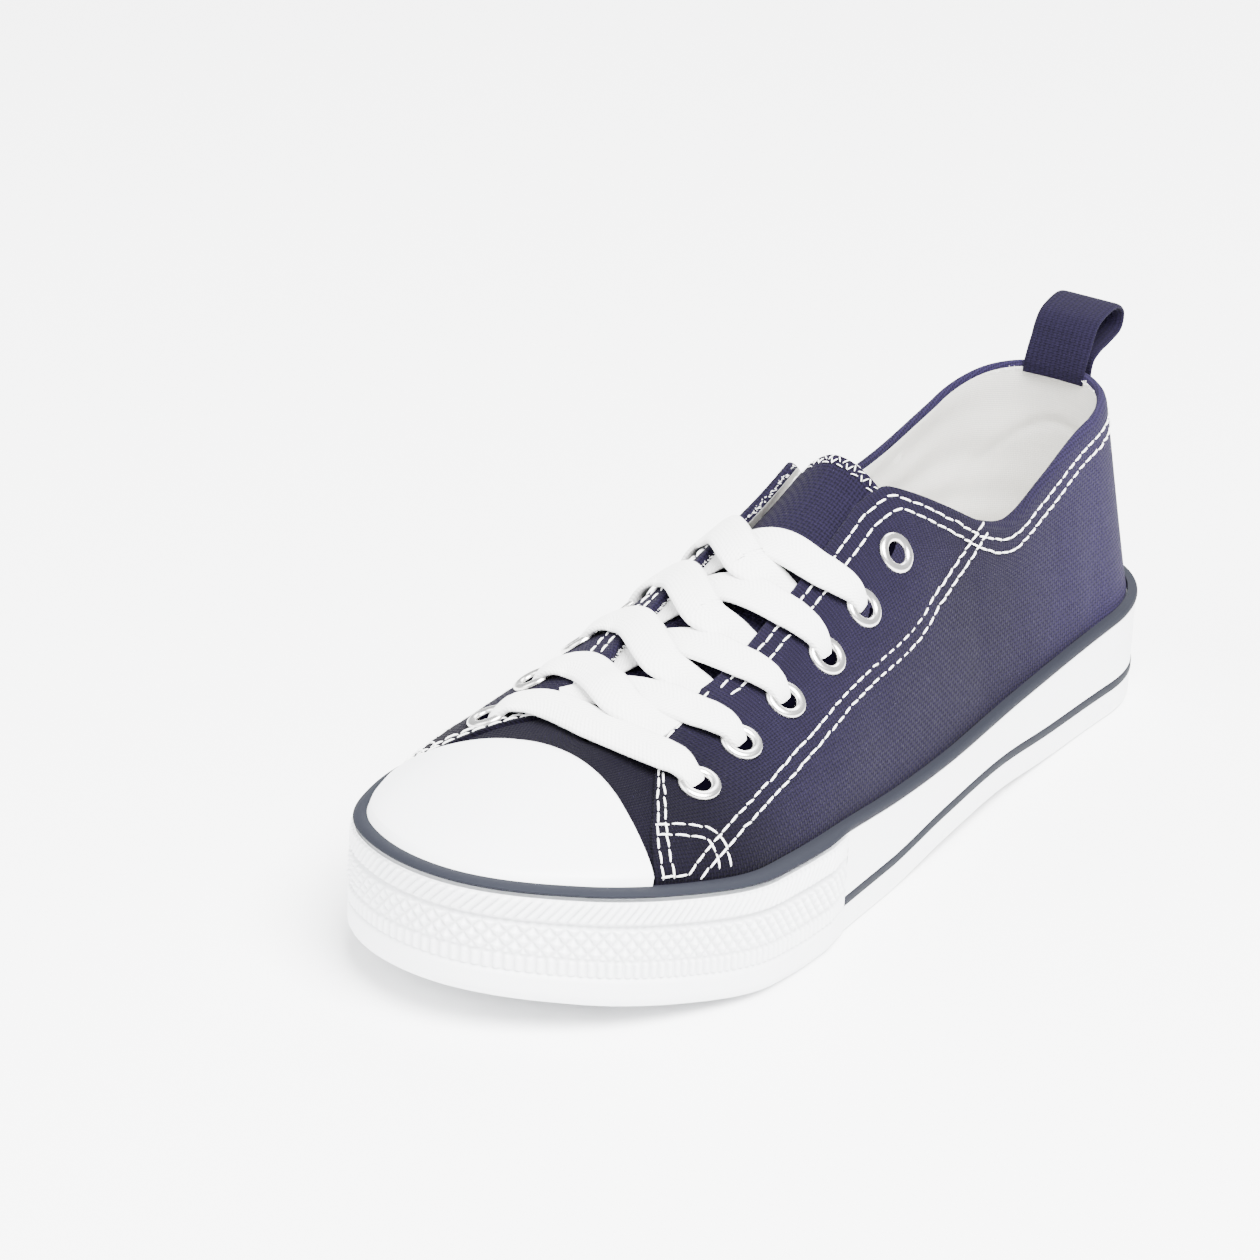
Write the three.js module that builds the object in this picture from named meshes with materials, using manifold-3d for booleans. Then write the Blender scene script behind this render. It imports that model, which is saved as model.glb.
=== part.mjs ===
// A low canvas sneaker, the wearer's left shoe, empty and standing on its sole.
// Millimetres. +X is the toe, +Y the wearer's left (the outer side of this shoe), +Z up.
import * as THREE from 'three';
import { mergeVertices } from 'three/addons/utils/BufferGeometryUtils.js';
import Module from 'manifold-3d';

const wasm = await Module();
wasm.setup();

// Sole: overall sizes
const SOLE_LENGTH = 268;
const BALL_WIDTH = 95.4;
const HEEL_WIDTH = 66;
const BUMPER_THICK = 2.2;
const TOP_HEIGHT = 26;
const TOE_SPRING = 9.5;
const ARCH_RISE = 2.2;
const WALL_THICK = 2.1;
const BED_HEIGHT = 9;
const TREAD_THICK = 4;
const GROOVE_DEPTH = 1.3;
const GROOVE_WIDTH = 2.4;
const GROOVE_PITCH = 11;
const GROOVE_LENGTH = 0.62 * BALL_WIDTH;
const TOP_STRIPE_HEIGHT = 2.8;
const TOP_STRIPE_BULGE = 0.5;
const LOW_STRIPE_HEIGHT = 2.4;
const LOW_STRIPE_LEVEL = 6.6;
const LOW_STRIPE_DEPTH = 1;
const LOW_STRIPE_PROUD = 0.25;

// Upper: overall sizes
const CANVAS = 1.7;
const QUARTER_STEP = 0.9;
const CAP_THICK = 1.5;
const COLLAR_HEIGHT = 76;
const INSTEP_HEIGHT = 79;
const THROAT_WIDTH = 25;
const TONGUE_THICK = 2;
const TONGUE_WIDTH = 48;
const INSOLE_THICK = 3;
const EYELET_RADIUS = 4.8;
const EYELET_BORE = 2.5;
const EYELET_WALL = 0.5;
const LACE_WIDTH = 8.6;
const LACE_THICK = 1.3;
const LOOP_WIDTH = 16;
const LOOP_THICK = 1.2;
const LOOP_REACH = 16.5;
const LOOP_RISE = 14;
const GAP = 0.3;
const CURVED_GAP = 0.45;
const CORNER_ROUND = 0.15;
const FEATHER_DROP = 1;

// Steps along and across the forms
const SOLE_STEPS = 36;
const BUMPER_STEPS = 30;
const LOW_STRIPE_STEPS = 52;
const RING_STEPS = 84;
const QUARTER_STEPS = 22;
const VAMP_STEPS = 8;
const WALL_STEPS = 6;

// The outline is swept by a line that turns about a heel centre, runs straight to a toe centre
// and turns about that. A station is the length along that sweep from the heel tip, plus on the
// outer side of the foot and minus on the inner side.
const HEEL_CENTRE = 0.123 * SOLE_LENGTH;
const TOE_CENTRE = 0.777 * SOLE_LENGTH;
const HEEL_FAN = HEEL_WIDTH / 2;
const TOE_FAN = BALL_WIDTH / 2;
const HEEL_END = HEEL_FAN * Math.PI / 2;
const TOE_START = HEEL_END + TOE_CENTRE - HEEL_CENTRE;
const TOE_TIP = TOE_START + TOE_FAN * Math.PI / 2;
const HALF_BALL = BALL_WIDTH / 2;
const HALF_HEEL = HEEL_WIDTH / 2;

const heelTurn = (degrees) => HEEL_FAN * degrees * Math.PI / 180;
const along = (share) => HEEL_END + share * SOLE_LENGTH - HEEL_CENTRE;
const toeTurn = (degrees) => TOE_START + TOE_FAN * (90 - degrees) * Math.PI / 180;

// Side wall of the sole: reach from the sweep line as shares of half the heel or ball width
const OUTLINE = [
  { at: heelTurn(0), outer: 1.0 * HALF_HEEL, inner: 1.0 * HALF_HEEL },
  { at: heelTurn(45), outer: 0.98 * HALF_HEEL, inner: 1.0 * HALF_HEEL },
  { at: along(0.123), outer: 0.935 * HALF_HEEL, inner: 0.98 * HALF_HEEL },
  { at: along(0.30), outer: 0.71 * HALF_BALL, inner: 0.63 * HALF_BALL },
  { at: along(0.46), outer: 0.81 * HALF_BALL, inner: 0.64 * HALF_BALL },
  { at: along(0.62), outer: 0.90 * HALF_BALL, inner: 0.83 * HALF_BALL },
  { at: along(0.70), outer: 0.94 * HALF_BALL, inner: 0.92 * HALF_BALL },
  { at: along(0.777), outer: 0.952 * HALF_BALL, inner: 0.953 * HALF_BALL },
  { at: toeTurn(60), outer: 0.95 * HALF_BALL, inner: 1.0 * HALF_BALL },
  { at: toeTurn(30), outer: 1.06 * HALF_BALL, inner: 1.15 * HALF_BALL },
  { at: toeTurn(0), outer: 1.21 * HALF_BALL, inner: 1.21 * HALF_BALL },
];

// Levels of the sole along its length: under side, and top edge as a share of TOP_HEIGHT
const LEVELS = [
  { at: 0.00, under: 0.08 * TOE_SPRING, top: 1.05 },
  { at: 0.04, under: 0, top: 1.04 },
  { at: 0.15, under: 0, top: 0.97 },
  { at: 0.24, under: 0.2 * ARCH_RISE, top: 0.93 },
  { at: 0.35, under: ARCH_RISE, top: 0.90 },
  { at: 0.46, under: 0.8 * ARCH_RISE, top: 0.89 },
  { at: 0.56, under: 0, top: 0.93 },
  { at: 0.66, under: 0, top: 1.02 },
  { at: 0.73, under: 0, top: 1.06 },
  { at: 0.82, under: 0.2 * TOE_SPRING, top: 1.12 },
  { at: 0.92, under: 0.6 * TOE_SPRING, top: 1.25 },
  { at: 1.00, under: 1.0 * TOE_SPRING, top: 1.36 },
];

// The last's ridge, closed over the collar, as shares of the instep height
const RIDGE = [
  { at: -0.02, height: 1.67 },
  { at: 0.12, height: 1.65 },
  { at: 0.25, height: 1.49 },
  { at: 0.33, height: 1.31 },
  { at: 0.42, height: 1.11 },
  { at: 0.50, height: 0.965 },
  { at: 0.60, height: 0.815 },
  { at: 0.70, height: 0.685 },
  { at: 0.78, height: 0.60 },
  { at: 0.86, height: 0.54 },
  { at: 0.93, height: 0.505 },
  { at: 1.00, height: 0.485 },
];

// Roundness of the section: shoulder bends the top in, lean sets how soon the wall leaves upright
const SECTION = [
  { at: heelTurn(0), shoulder: 1.6, lean: 1.0 },
  { at: heelTurn(60), shoulder: 1.7, lean: 1.0 },
  { at: along(0.123), shoulder: 1.8, lean: 1.05 },
  { at: along(0.30), shoulder: 2.0, lean: 1.25 },
  { at: along(0.42), shoulder: 2.0, lean: 1.5 },
  { at: along(0.55), shoulder: 2.0, lean: 1.7 },
  { at: along(0.70), shoulder: 2.1, lean: 1.8 },
  { at: along(0.777), shoulder: 2.15, lean: 1.8 },
  { at: toeTurn(45), shoulder: 2.3, lean: 1.7 },
  { at: toeTurn(0), shoulder: 2.4, lean: 1.6 },
];

// Top edge of the upper: height of the collar as a share of its height at the heel
const COLLAR = [
  { at: heelTurn(0), outer: 1.0, inner: 1.0 },
  { at: heelTurn(50), outer: 0.98, inner: 0.96 },
  { at: along(0.14), outer: 0.94, inner: 0.86 },
  { at: along(0.22), outer: 0.865, inner: 0.80 },
  { at: along(0.29), outer: 0.815, inner: 0.79 },
  { at: along(0.335), outer: 0.855, inner: 0.835 },
  { at: along(0.375), outer: 0.935, inner: 0.915 },
  { at: along(0.41), outer: 1.01, inner: 1.0 },
  { at: along(0.435), outer: 1.06, inner: 1.06 },
];

// Facing edges: half the throat along its length as a share of its width
const FACING = [
  { at: 0.38, half: 0.20 },
  { at: 0.42, half: 0.36 },
  { at: 0.45, half: 0.43 },
  { at: 0.52, half: 0.47 },
  { at: 0.60, half: 0.50 },
  { at: 0.68, half: 0.50 },
  { at: 0.73, half: 0.36 },
  { at: 0.777, half: 0.09 },
];

// Front edge of the quarter, laid over the vamp: its station from the foot (0) to the facing (1)
const QUARTER_FRONT = [
  { at: 0, outer: toeTurn(49), inner: toeTurn(59) },
  { at: 0.3, outer: toeTurn(50), inner: toeTurn(61) },
  { at: 0.5, outer: toeTurn(54), inner: toeTurn(66) },
  { at: 0.7, outer: toeTurn(66), inner: toeTurn(76) },
  { at: 0.85, outer: toeTurn(88), inner: toeTurn(89) },
  { at: 1, outer: along(0.70), inner: along(0.70) },
];

// Eyelets from the toe back: place along the shoe, and out from its middle line
const EYELETS = [
  { at: 0.787, out: 0.56 },
  { at: 0.724, out: 0.55 },
  { at: 0.658, out: 0.545 },
  { at: 0.591, out: 0.525 },
  { at: 0.526, out: 0.49 },
  { at: 0.463, out: 0.44 },
];

// Side of the toe bumper from the ground up: how far it stands out, and its level up the wall
const BUMPER_BANDS = [
  { out: 0.45, level: 0.02 },
  { out: 0.95, level: 0.09 },
  { out: 1.0, level: 0.26 },
  { out: 0.85, level: 0.28 },
  { out: 0.85, level: 0.42 },
  { out: 1.0, level: 0.44 },
  { out: 1.0, level: 0.72 },
  { out: 0.75, level: 0.745 },
  { out: 0.92, level: 0.77 },
  { out: 0.8, level: 0.98 },
];

// Pull loop seen from the side: back from the collar and up, as shares of its reach and rise
const LOOP_PATH = [
  { back: 0.0, up: 0.03 },
  { back: 0.05, up: 0.46 },
  { back: 0.22, up: 0.83 },
  { back: 0.52, up: 0.98 },
  { back: 0.81, up: 1.0 },
  { back: 0.97, up: 0.84 },
  { back: 0.92, up: 0.58 },
  { back: 0.60, up: 0.43 },
  { back: 0.36, up: 0.35 },
  { back: 0.20, up: 0.22 },
  { back: 0.17, up: 0.03 },
];

// Hermite curve through the rows of a table, straight past its ends or closed with a period
const smooth = (rows, column, place, period) => {
  const count = rows.length;
  const last = count - 1;
  const row = (k) => {
    if (k >= 0 && k < count) return [rows[k].at, rows[k][column]];
    if (period) {
      const other = rows[(k + count) % count];
      return [other.at + (k < 0 ? -period : period), other[column]];
    }
    const end = k < 0 ? 0 : last;
    const next = k < 0 ? 1 : last - 1;
    return [2 * rows[end].at - rows[next].at, 2 * rows[end][column] - rows[next][column]];
  };
  const where = period ? ((place % period) + period) % period
    : Math.min(Math.max(place, rows[0].at), rows[last].at);
  let k = 0;
  while (k < (period ? last : last - 1) && row(k + 1)[0] <= where) k++;
  const [a, b, c, d] = [row(k - 1), row(k), row(k + 1), row(k + 2)];
  const span = c[0] - b[0];
  const u = (where - b[0]) / span;
  const slopeB = (c[1] - a[1]) / (c[0] - a[0]) * span;
  const slopeC = (d[1] - b[1]) / (d[0] - b[0]) * span;
  const rise = u * u * (3 - 2 * u);
  return (1 - rise) * b[1] + rise * c[1] + u * (1 - u) * ((1 - u) * slopeB - u * slopeC);
};
const bySide = (rows, station) => smooth(rows, station < 0 ? 'inner' : 'outer', Math.abs(station));

// Both sides of the outline as one closed loop of stations
const OUTLINE_LOOP = OUTLINE.map((row) => ({ at: row.at, reach: row.outer }));
for (let k = OUTLINE.length - 2; k > 0; k--) {
  OUTLINE_LOOP.push({ at: 2 * TOE_TIP - OUTLINE[k].at, reach: OUTLINE[k].inner });
}
const reach = (station) => smooth(OUTLINE_LOOP, 'reach', station, 2 * TOE_TIP);
const under = (x) => Math.max(0, smooth(LEVELS, 'under', x / SOLE_LENGTH));
const top = (x) => TOP_HEIGHT * smooth(LEVELS, 'top', x / SOLE_LENGTH);
const bed = (x) => under(x) + BED_HEIGHT;
const ridge = (x) => INSTEP_HEIGHT * smooth(RIDGE, 'height', x / SOLE_LENGTH);

// Foot of the sweep line at a station, and its direction
const sweep = (station) => {
  const s = Math.abs(station);
  let turn = Math.PI / 2;
  if (s < HEEL_END) turn = Math.PI - s / HEEL_FAN;
  if (s > TOE_START) turn = Math.PI / 2 - (s - TOE_START) / TOE_FAN;
  const x = Math.min(Math.max(HEEL_CENTRE + s - HEEL_END, HEEL_CENTRE), TOE_CENTRE);
  return { x, dx: Math.cos(turn), dy: Math.sign(station || 1) * Math.sin(turn) };
};
const stationAt = (x, y) => {
  const side = y < 0 ? -1 : 1;
  const out = Math.abs(y);
  if (x < HEEL_CENTRE) return side * HEEL_FAN * Math.atan2(out, HEEL_CENTRE - x);
  if (x > TOE_CENTRE) return side * (TOE_START + TOE_FAN * Math.atan2(x - TOE_CENTRE, out));
  return side * (HEEL_END + x - HEEL_CENTRE);
};
// Point of the outline drawn in by an inset, at a level worked out from its place along the shoe
const outlinePoint = (station, inset, level) => {
  const { x, dx, dy } = sweep(station);
  const r = reach(station) - inset;
  return new THREE.Vector3(x + dx * r, dy * r, level(x + dx * r));
};

// The last's skin: share is 1 at the feather line, where the sole's top edge is, and 0 on the ridge
const UPPER_INSET = WALL_THICK + GAP + QUARTER_STEP;
const baseReach = (station) => reach(station) - UPPER_INSET;
const skin = (station, share) => {
  const { x, dx, dy } = sweep(station);
  const r = baseReach(station);
  const shoulder = smooth(SECTION, 'shoulder', Math.abs(station));
  const lean = smooth(SECTION, 'lean', Math.abs(station));
  const low = top(x + dx * r);
  const px = x + dx * r * share;
  const rise = Math.pow(Math.max(0, 1 - Math.pow(share, shoulder)), 1 / lean);
  return new THREE.Vector3(px, dy * r * share, low + rise * (ridge(px) - low));
};
const offSkin = (station, share, offset) => {
  const here = Math.min(Math.max(share, 0.03), 0.99);
  const step = 0.005;
  const forward = skin(station + 0.5, here).sub(skin(station - 0.5, here));
  const inward = skin(station, here - step).sub(skin(station, here + step));
  const normal = inward.cross(forward).normalize();
  return skin(station, share).addScaledVector(normal, offset);
};
const offSkinAt = (x, y, offset) => {
  const station = stationAt(x, y);
  const foot = sweep(station);
  return offSkin(station, Math.hypot(x - foot.x, y) / baseReach(station), offset);
};
const shareAtHeight = (station, height) => {
  let low = 0;
  let high = 1;
  for (let k = 0; k < 24; k++) {
    const middle = (low + high) / 2;
    if (skin(station, middle).z > height) low = middle;
    else high = middle;
  }
  return high;
};
// Share at the upper's top edge: the collar as far as the facing's rounded corner, then the facing
const edgeShare = (station) => {
  const facing = THROAT_WIDTH * smooth(FACING, 'half', sweep(station).x / SOLE_LENGTH);
  const collar = shareAtHeight(station, COLLAR_HEIGHT * bySide(COLLAR, station));
  const half = facing / baseReach(station);
  return (collar + half + Math.hypot(collar - half, CORNER_ROUND)) / 2;
};

// Closed solid through rings of points, joined end to end or capped across each end ring
const loft = (rings, joined) => {
  const size = rings[0].length;
  const points = rings.flat();
  const faces = [];
  const quad = (a, b, c, d) => faces.push(a, b, c, a, c, d);
  const spans = joined ? rings.length : rings.length - 1;
  for (let i = 0; i < spans; i++) {
    const here = i * size;
    const next = ((i + 1) % rings.length) * size;
    for (let j = 0; j < size; j++) {
      const k = (j + 1) % size;
      quad(here + j, here + k, next + k, next + j);
    }
  }
  if (!joined) {
    const far = (rings.length - 1) * size;
    for (let j = 0; j < size / 2 - 1; j++) {
      const [a, b, c, d] = [j, j + 1, size - 2 - j, size - 1 - j];
      quad(a, d, c, b);
      quad(far + a, far + b, far + c, far + d);
    }
  }
  let volume = 0;
  for (let f = 0; f < faces.length; f += 3) {
    const [a, b, c] = [points[faces[f]], points[faces[f + 1]], points[faces[f + 2]]];
    volume += a.dot(b.clone().cross(c));
  }
  if (volume < 0) faces.reverse();
  const geometry = new THREE.BufferGeometry();
  geometry.setFromPoints(points);
  geometry.setIndex(faces);
  return geometry;
};
const range = (count, make) => Array.from({ length: count }, (unused, k) => make(k));

// Slab across the outline: levels run up its side, and each chord joins the two sides
const END_CHORD = 3;
const plate = (levels) => loft(range(SOLE_STEPS + 1, (k) => {
  const station = END_CHORD + (TOE_TIP - 2 * END_CHORD) * k / SOLE_STEPS;
  const side = (sign) => levels.map((row) => outlinePoint(sign * station, row.inset, row.level));
  return [...side(1), ...side(-1).reverse()];
}), false);

// Joins and cuts
const toSolid = (geometry) => {
  const bare = geometry.clone();
  bare.deleteAttribute('uv');
  bare.deleteAttribute('normal');
  const merged = mergeVertices(bare, 1e-5);
  return new wasm.Manifold(new wasm.Mesh({
    numProp: 3,
    vertProperties: new Float32Array(merged.attributes.position.array),
    triVerts: new Uint32Array(merged.index.array),
  }));
};
const toGeometry = (solid) => {
  const mesh = solid.getMesh();
  const geometry = new THREE.BufferGeometry();
  geometry.setAttribute('position', new THREE.BufferAttribute(mesh.vertProperties, 3));
  geometry.setIndex(new THREE.BufferAttribute(mesh.triVerts, 1));
  return geometry;
};

// Sole
const BAR_COUNT = Math.floor(SOLE_LENGTH / GROOVE_PITCH);
const outsole = () => {
  const inset = WALL_THICK + GAP;
  let solid = toSolid(plate([
    { inset, level: under },
    { inset, level: (x) => under(x) + TREAD_THICK },
  ]));
  for (let k = 1; k < BAR_COUNT; k++) {
    const x = k * GROOVE_PITCH;
    const groove = new THREE.BoxGeometry(GROOVE_WIDTH, GROOVE_LENGTH, 2 * GROOVE_DEPTH);
    groove.translate(x, 0, under(x));
    solid = solid.subtract(toSolid(groove));
  }
  return toGeometry(solid);
};
const wallTop = (x) => top(x) - TOP_STRIPE_HEIGHT - GAP;
const stripeLow = (x) => under(x) + LOW_STRIPE_LEVEL;
const stripeHigh = (x) => stripeLow(x) + LOW_STRIPE_HEIGHT;
const FOOT_CHAMFER = 1;
const midsole = () => {
  const outside = toSolid(plate([
    { inset: FOOT_CHAMFER, level: under },
    { inset: 0, level: (x) => under(x) + FOOT_CHAMFER },
    { inset: 0, level: stripeLow },
    { inset: LOW_STRIPE_DEPTH, level: stripeLow },
    { inset: LOW_STRIPE_DEPTH, level: stripeHigh },
    { inset: 0, level: stripeHigh },
    { inset: 0, level: wallTop },
  ]));
  const foot = toSolid(plate([
    { inset: WALL_THICK, level: bed },
    { inset: WALL_THICK, level: () => 2 * INSTEP_HEIGHT },
  ]));
  const tread = toSolid(plate([
    { inset: WALL_THICK, level: () => -TOP_HEIGHT },
    { inset: WALL_THICK, level: (x) => under(x) + TREAD_THICK + GAP },
  ]));
  return toGeometry(outside.subtract(foot).subtract(tread));
};
const BUMPER_ENDS = { outer: along(0.655), inner: along(0.655) };
// The strip thins toward its two ends: its share of full thickness there, and how fast it grows
const BUMPER_END_SHARE = 0.35;
const BUMPER_GROWTH = 12;
const BUMPER_LEAST = CURVED_GAP + 0.2;
// Stations through the toe tip count on past it, down the inner side
const pastToe = (station) => (station > TOE_TIP ? station - 2 * TOE_TIP : station);
const toeBumper = () => loft(range(BUMPER_STEPS + 1, (k) => {
  const share = k / BUMPER_STEPS;
  const span = 2 * TOE_TIP - BUMPER_ENDS.outer - BUMPER_ENDS.inner;
  const station = pastToe(BUMPER_ENDS.outer + span * share);
  const grown = Math.min(1, BUMPER_GROWTH * Math.min(share, 1 - share) + BUMPER_END_SHARE);
  const level = (row) => (x) => under(x) + row.level * (wallTop(x) - under(x));
  const outside = BUMPER_BANDS.map((row) => (
    outlinePoint(station, -Math.max(row.out * grown * BUMPER_THICK, BUMPER_LEAST), level(row))));
  const inside = BUMPER_BANDS.map((row) => outlinePoint(station, -CURVED_GAP, level(row)));
  return [...outside, ...inside.reverse()];
}), false);
// The top stripe is a round-faced piping that swells to lie over the bumper's top edge
const SWELL_BEFORE = 4;
const SWELL_AFTER = 14;
const SWELL_SHARE = 0.75;
const PIPING_EDGE = 0.4;
const stripeTop = () => loft(range(RING_STEPS, (k) => {
  const station = 2 * TOE_TIP * k / RING_STEPS - TOE_TIP;
  const past = Math.abs(station) - BUMPER_ENDS.outer;
  const overBumper = THREE.MathUtils.smoothstep(past, -SWELL_BEFORE, SWELL_AFTER);
  const out = TOP_STRIPE_BULGE + overBumper * BUMPER_THICK * SWELL_SHARE;
  const low = (x) => top(x) - TOP_STRIPE_HEIGHT;
  const middle = (x) => top(x) - TOP_STRIPE_HEIGHT / 2;
  const inset = WALL_THICK;
  return [
    outlinePoint(station, inset, low),
    outlinePoint(station, -0.5 * out, low),
    outlinePoint(station, -out, middle),
    outlinePoint(station, 0.5 * TOP_STRIPE_BULGE - 0.6 * out, (x) => top(x) - PIPING_EDGE),
    outlinePoint(station, 0.7 * TOP_STRIPE_BULGE, top),
    outlinePoint(station, inset, top),
  ];
}), true);
const stripeLowRing = () => loft(range(LOW_STRIPE_STEPS + 1, (k) => {
  const from = BUMPER_ENDS.outer - GAP;
  const to = -(BUMPER_ENDS.inner - GAP);
  const station = from + (to - from) * k / LOW_STRIPE_STEPS;
  const inset = LOW_STRIPE_DEPTH - GAP;
  const low = (x) => stripeLow(x) + GAP;
  const high = (x) => stripeHigh(x) - GAP;
  return [
    outlinePoint(station, inset, low),
    outlinePoint(station, -LOW_STRIPE_PROUD, low),
    outlinePoint(station, -LOW_STRIPE_PROUD, high),
    outlinePoint(station, inset, high),
  ];
}), false);

// Upper: one wall round the foot, with the quarters standing proud of the vamp
const FRONT_STEP = 0.35;
const MIDDLE = 1e-6;
const wallRing = (stationOf, proud) => {
  const hem = (x) => bed(x) + GAP;
  const feather = (x) => top(x) - FEATHER_DROP;
  const foot = stationOf(0);
  const outside = [
    outlinePoint(foot, UPPER_INSET - QUARTER_STEP, hem),
    outlinePoint(foot, proud ? UPPER_INSET - QUARTER_STEP : UPPER_INSET, feather),
  ];
  const inside = [
    outlinePoint(foot, UPPER_INSET + CANVAS, hem),
    outlinePoint(foot, UPPER_INSET + CANVAS, feather),
  ];
  for (let k = 1; k <= WALL_STEPS; k++) {
    const v = k / WALL_STEPS;
    const station = stationOf(v);
    const share = 1 - (1 - edgeShare(station)) * (1 - Math.cos(v * Math.PI / 2));
    outside.push(offSkin(station, share, proud ? QUARTER_STEP : 0));
    inside.push(offSkin(station, share, -CANVAS));
  }
  return [...outside, ...inside.reverse()];
};
const upperSide = (side) => {
  const front = (v) => smooth(QUARTER_FRONT, side < 0 ? 'inner' : 'outer', v);
  const quarter = range(QUARTER_STEPS + 1, (k) => (
    wallRing((v) => side * Math.max(MIDDLE, front(v) * k / QUARTER_STEPS), true)));
  const vamp = range(VAMP_STEPS + 1, (k) => wallRing((v) => {
    const from = front(v) + FRONT_STEP;
    return side * (from + (TOE_TIP - from) * k / VAMP_STEPS);
  }, false));
  return [...quarter, ...vamp];
};
const eyeletPlace = (row, side) => [row.at * SOLE_LENGTH, side * row.out * HALF_BALL];
const eyeletTurn = (x, y) => {
  const axis = offSkinAt(x, y, 1).sub(offSkinAt(x, y, 0));
  return new THREE.Quaternion().setFromUnitVectors(new THREE.Vector3(0, 1, 0), axis);
};
const HOLE_RADIUS = EYELET_BORE + EYELET_WALL + GAP;
const HOLE_SIDES = 10;
const upper = () => {
  const outer = upperSide(1);
  const inner = upperSide(-1);
  const rings = [...outer.slice(0, -1), ...inner.slice(1).reverse()];
  let solid = toSolid(loft(rings, true));
  for (const row of EYELETS) {
    for (const side of [1, -1]) {
      const [x, y] = eyeletPlace(row, side);
      const hole = new THREE.CylinderGeometry(HOLE_RADIUS, HOLE_RADIUS, 6 * CANVAS, HOLE_SIDES);
      hole.applyQuaternion(eyeletTurn(x, y));
      hole.translate(...offSkinAt(x, y, 0));
      solid = solid.subtract(toSolid(hole));
    }
  }
  return toGeometry(solid);
};

// Toe cap: from a rear edge that bows back over the vamp to the sole's top edge
const CAP_APEX = { x: 0.817 * SOLE_LENGTH, y: -0.17 * HALF_BALL };
const CAP_SWEEP = 0.0125;
const CAP_SIDES = {
  outer: { y: 0.47 * HALF_BALL, foot: toeTurn(48) },
  inner: { y: -0.61 * HALF_BALL, foot: toeTurn(59) },
};
const CAP_FOOT_SHARE = 0.993;
const CAP_STEPS = 14;
const CAP_RISE_STEPS = 10;
const toeCap = () => loft(range(CAP_STEPS + 1, (k) => {
  const u = k / CAP_STEPS;
  const y = CAP_SIDES.outer.y + (CAP_SIDES.inner.y - CAP_SIDES.outer.y) * u;
  const x = CAP_APEX.x + CAP_SWEEP * (y - CAP_APEX.y) ** 2;
  const span = 2 * TOE_TIP - CAP_SIDES.outer.foot - CAP_SIDES.inner.foot;
  const station = pastToe(CAP_SIDES.outer.foot + span * u);
  const foot = sweep(station);
  const r = baseReach(station) * CAP_FOOT_SHARE;
  const line = (offset) => range(CAP_RISE_STEPS + 1, (j) => {
    const v = Math.sin(j / CAP_RISE_STEPS * Math.PI / 2);
    return offSkinAt(x + (foot.x + foot.dx * r - x) * v, y + (foot.dy * r - y) * v, offset);
  });
  return [...line(GAP), ...line(GAP + CAP_THICK).reverse()];
}), false);

// Tongue under the throat, and the insole on the bed
const TONGUE = { rear: 0.435, front: 0.80, rearShare: 0.92, frontShare: 0.62 };
const TONGUE_DEPTH = CANVAS + CURVED_GAP;
const TONGUE_STEPS = 11;
const TONGUE_ACROSS = 6;
const tongue = () => loft(range(TONGUE_STEPS + 1, (k) => {
  const share = k / TONGUE_STEPS;
  const x = SOLE_LENGTH * (TONGUE.rear + (TONGUE.front - TONGUE.rear) * share);
  const half = TONGUE_WIDTH / 2 * (TONGUE.rearShare + (TONGUE.frontShare - TONGUE.rearShare) * share);
  const line = (drop) => range(TONGUE_ACROSS + 1, (j) => (
    offSkinAt(x, half * (1 - 2 * j / TONGUE_ACROSS), -TONGUE_DEPTH - drop)));
  return [...line(0), ...line(TONGUE_THICK).reverse()];
}), false);
const insole = () => {
  const inset = UPPER_INSET + CANVAS + 2 * GAP;
  return plate([
    { inset, level: (x) => bed(x) + GAP },
    { inset, level: (x) => bed(x) + GAP + INSOLE_THICK },
  ]);
};

// Pull loop of webbing that starts and ends on the collar at the heel
const LOOP_SEAT = 1;
const LOOP_STEPS = 22;
const pullLoop = () => {
  const seat = offSkin(MIDDLE, edgeShare(MIDDLE), (QUARTER_STEP - CANVAS) / 2);
  const curve = new THREE.CatmullRomCurve3(LOOP_PATH.map((row) => new THREE.Vector3(
    seat.x + LOOP_SEAT - row.back * LOOP_REACH, 0, seat.z + GAP + row.up * LOOP_RISE)));
  return loft(range(LOOP_STEPS + 1, (k) => {
    const point = curve.getPoint(k / LOOP_STEPS);
    const tangent = curve.getTangent(k / LOOP_STEPS);
    const out = new THREE.Vector3(tangent.z, 0, -tangent.x).multiplyScalar(LOOP_THICK / 2);
    const across = new THREE.Vector3(0, LOOP_WIDTH / 2, 0);
    return [
      point.clone().add(out).add(across),
      point.clone().add(out).sub(across),
      point.clone().sub(out).sub(across),
      point.clone().sub(out).add(across),
    ];
  }), false);
};

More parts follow.
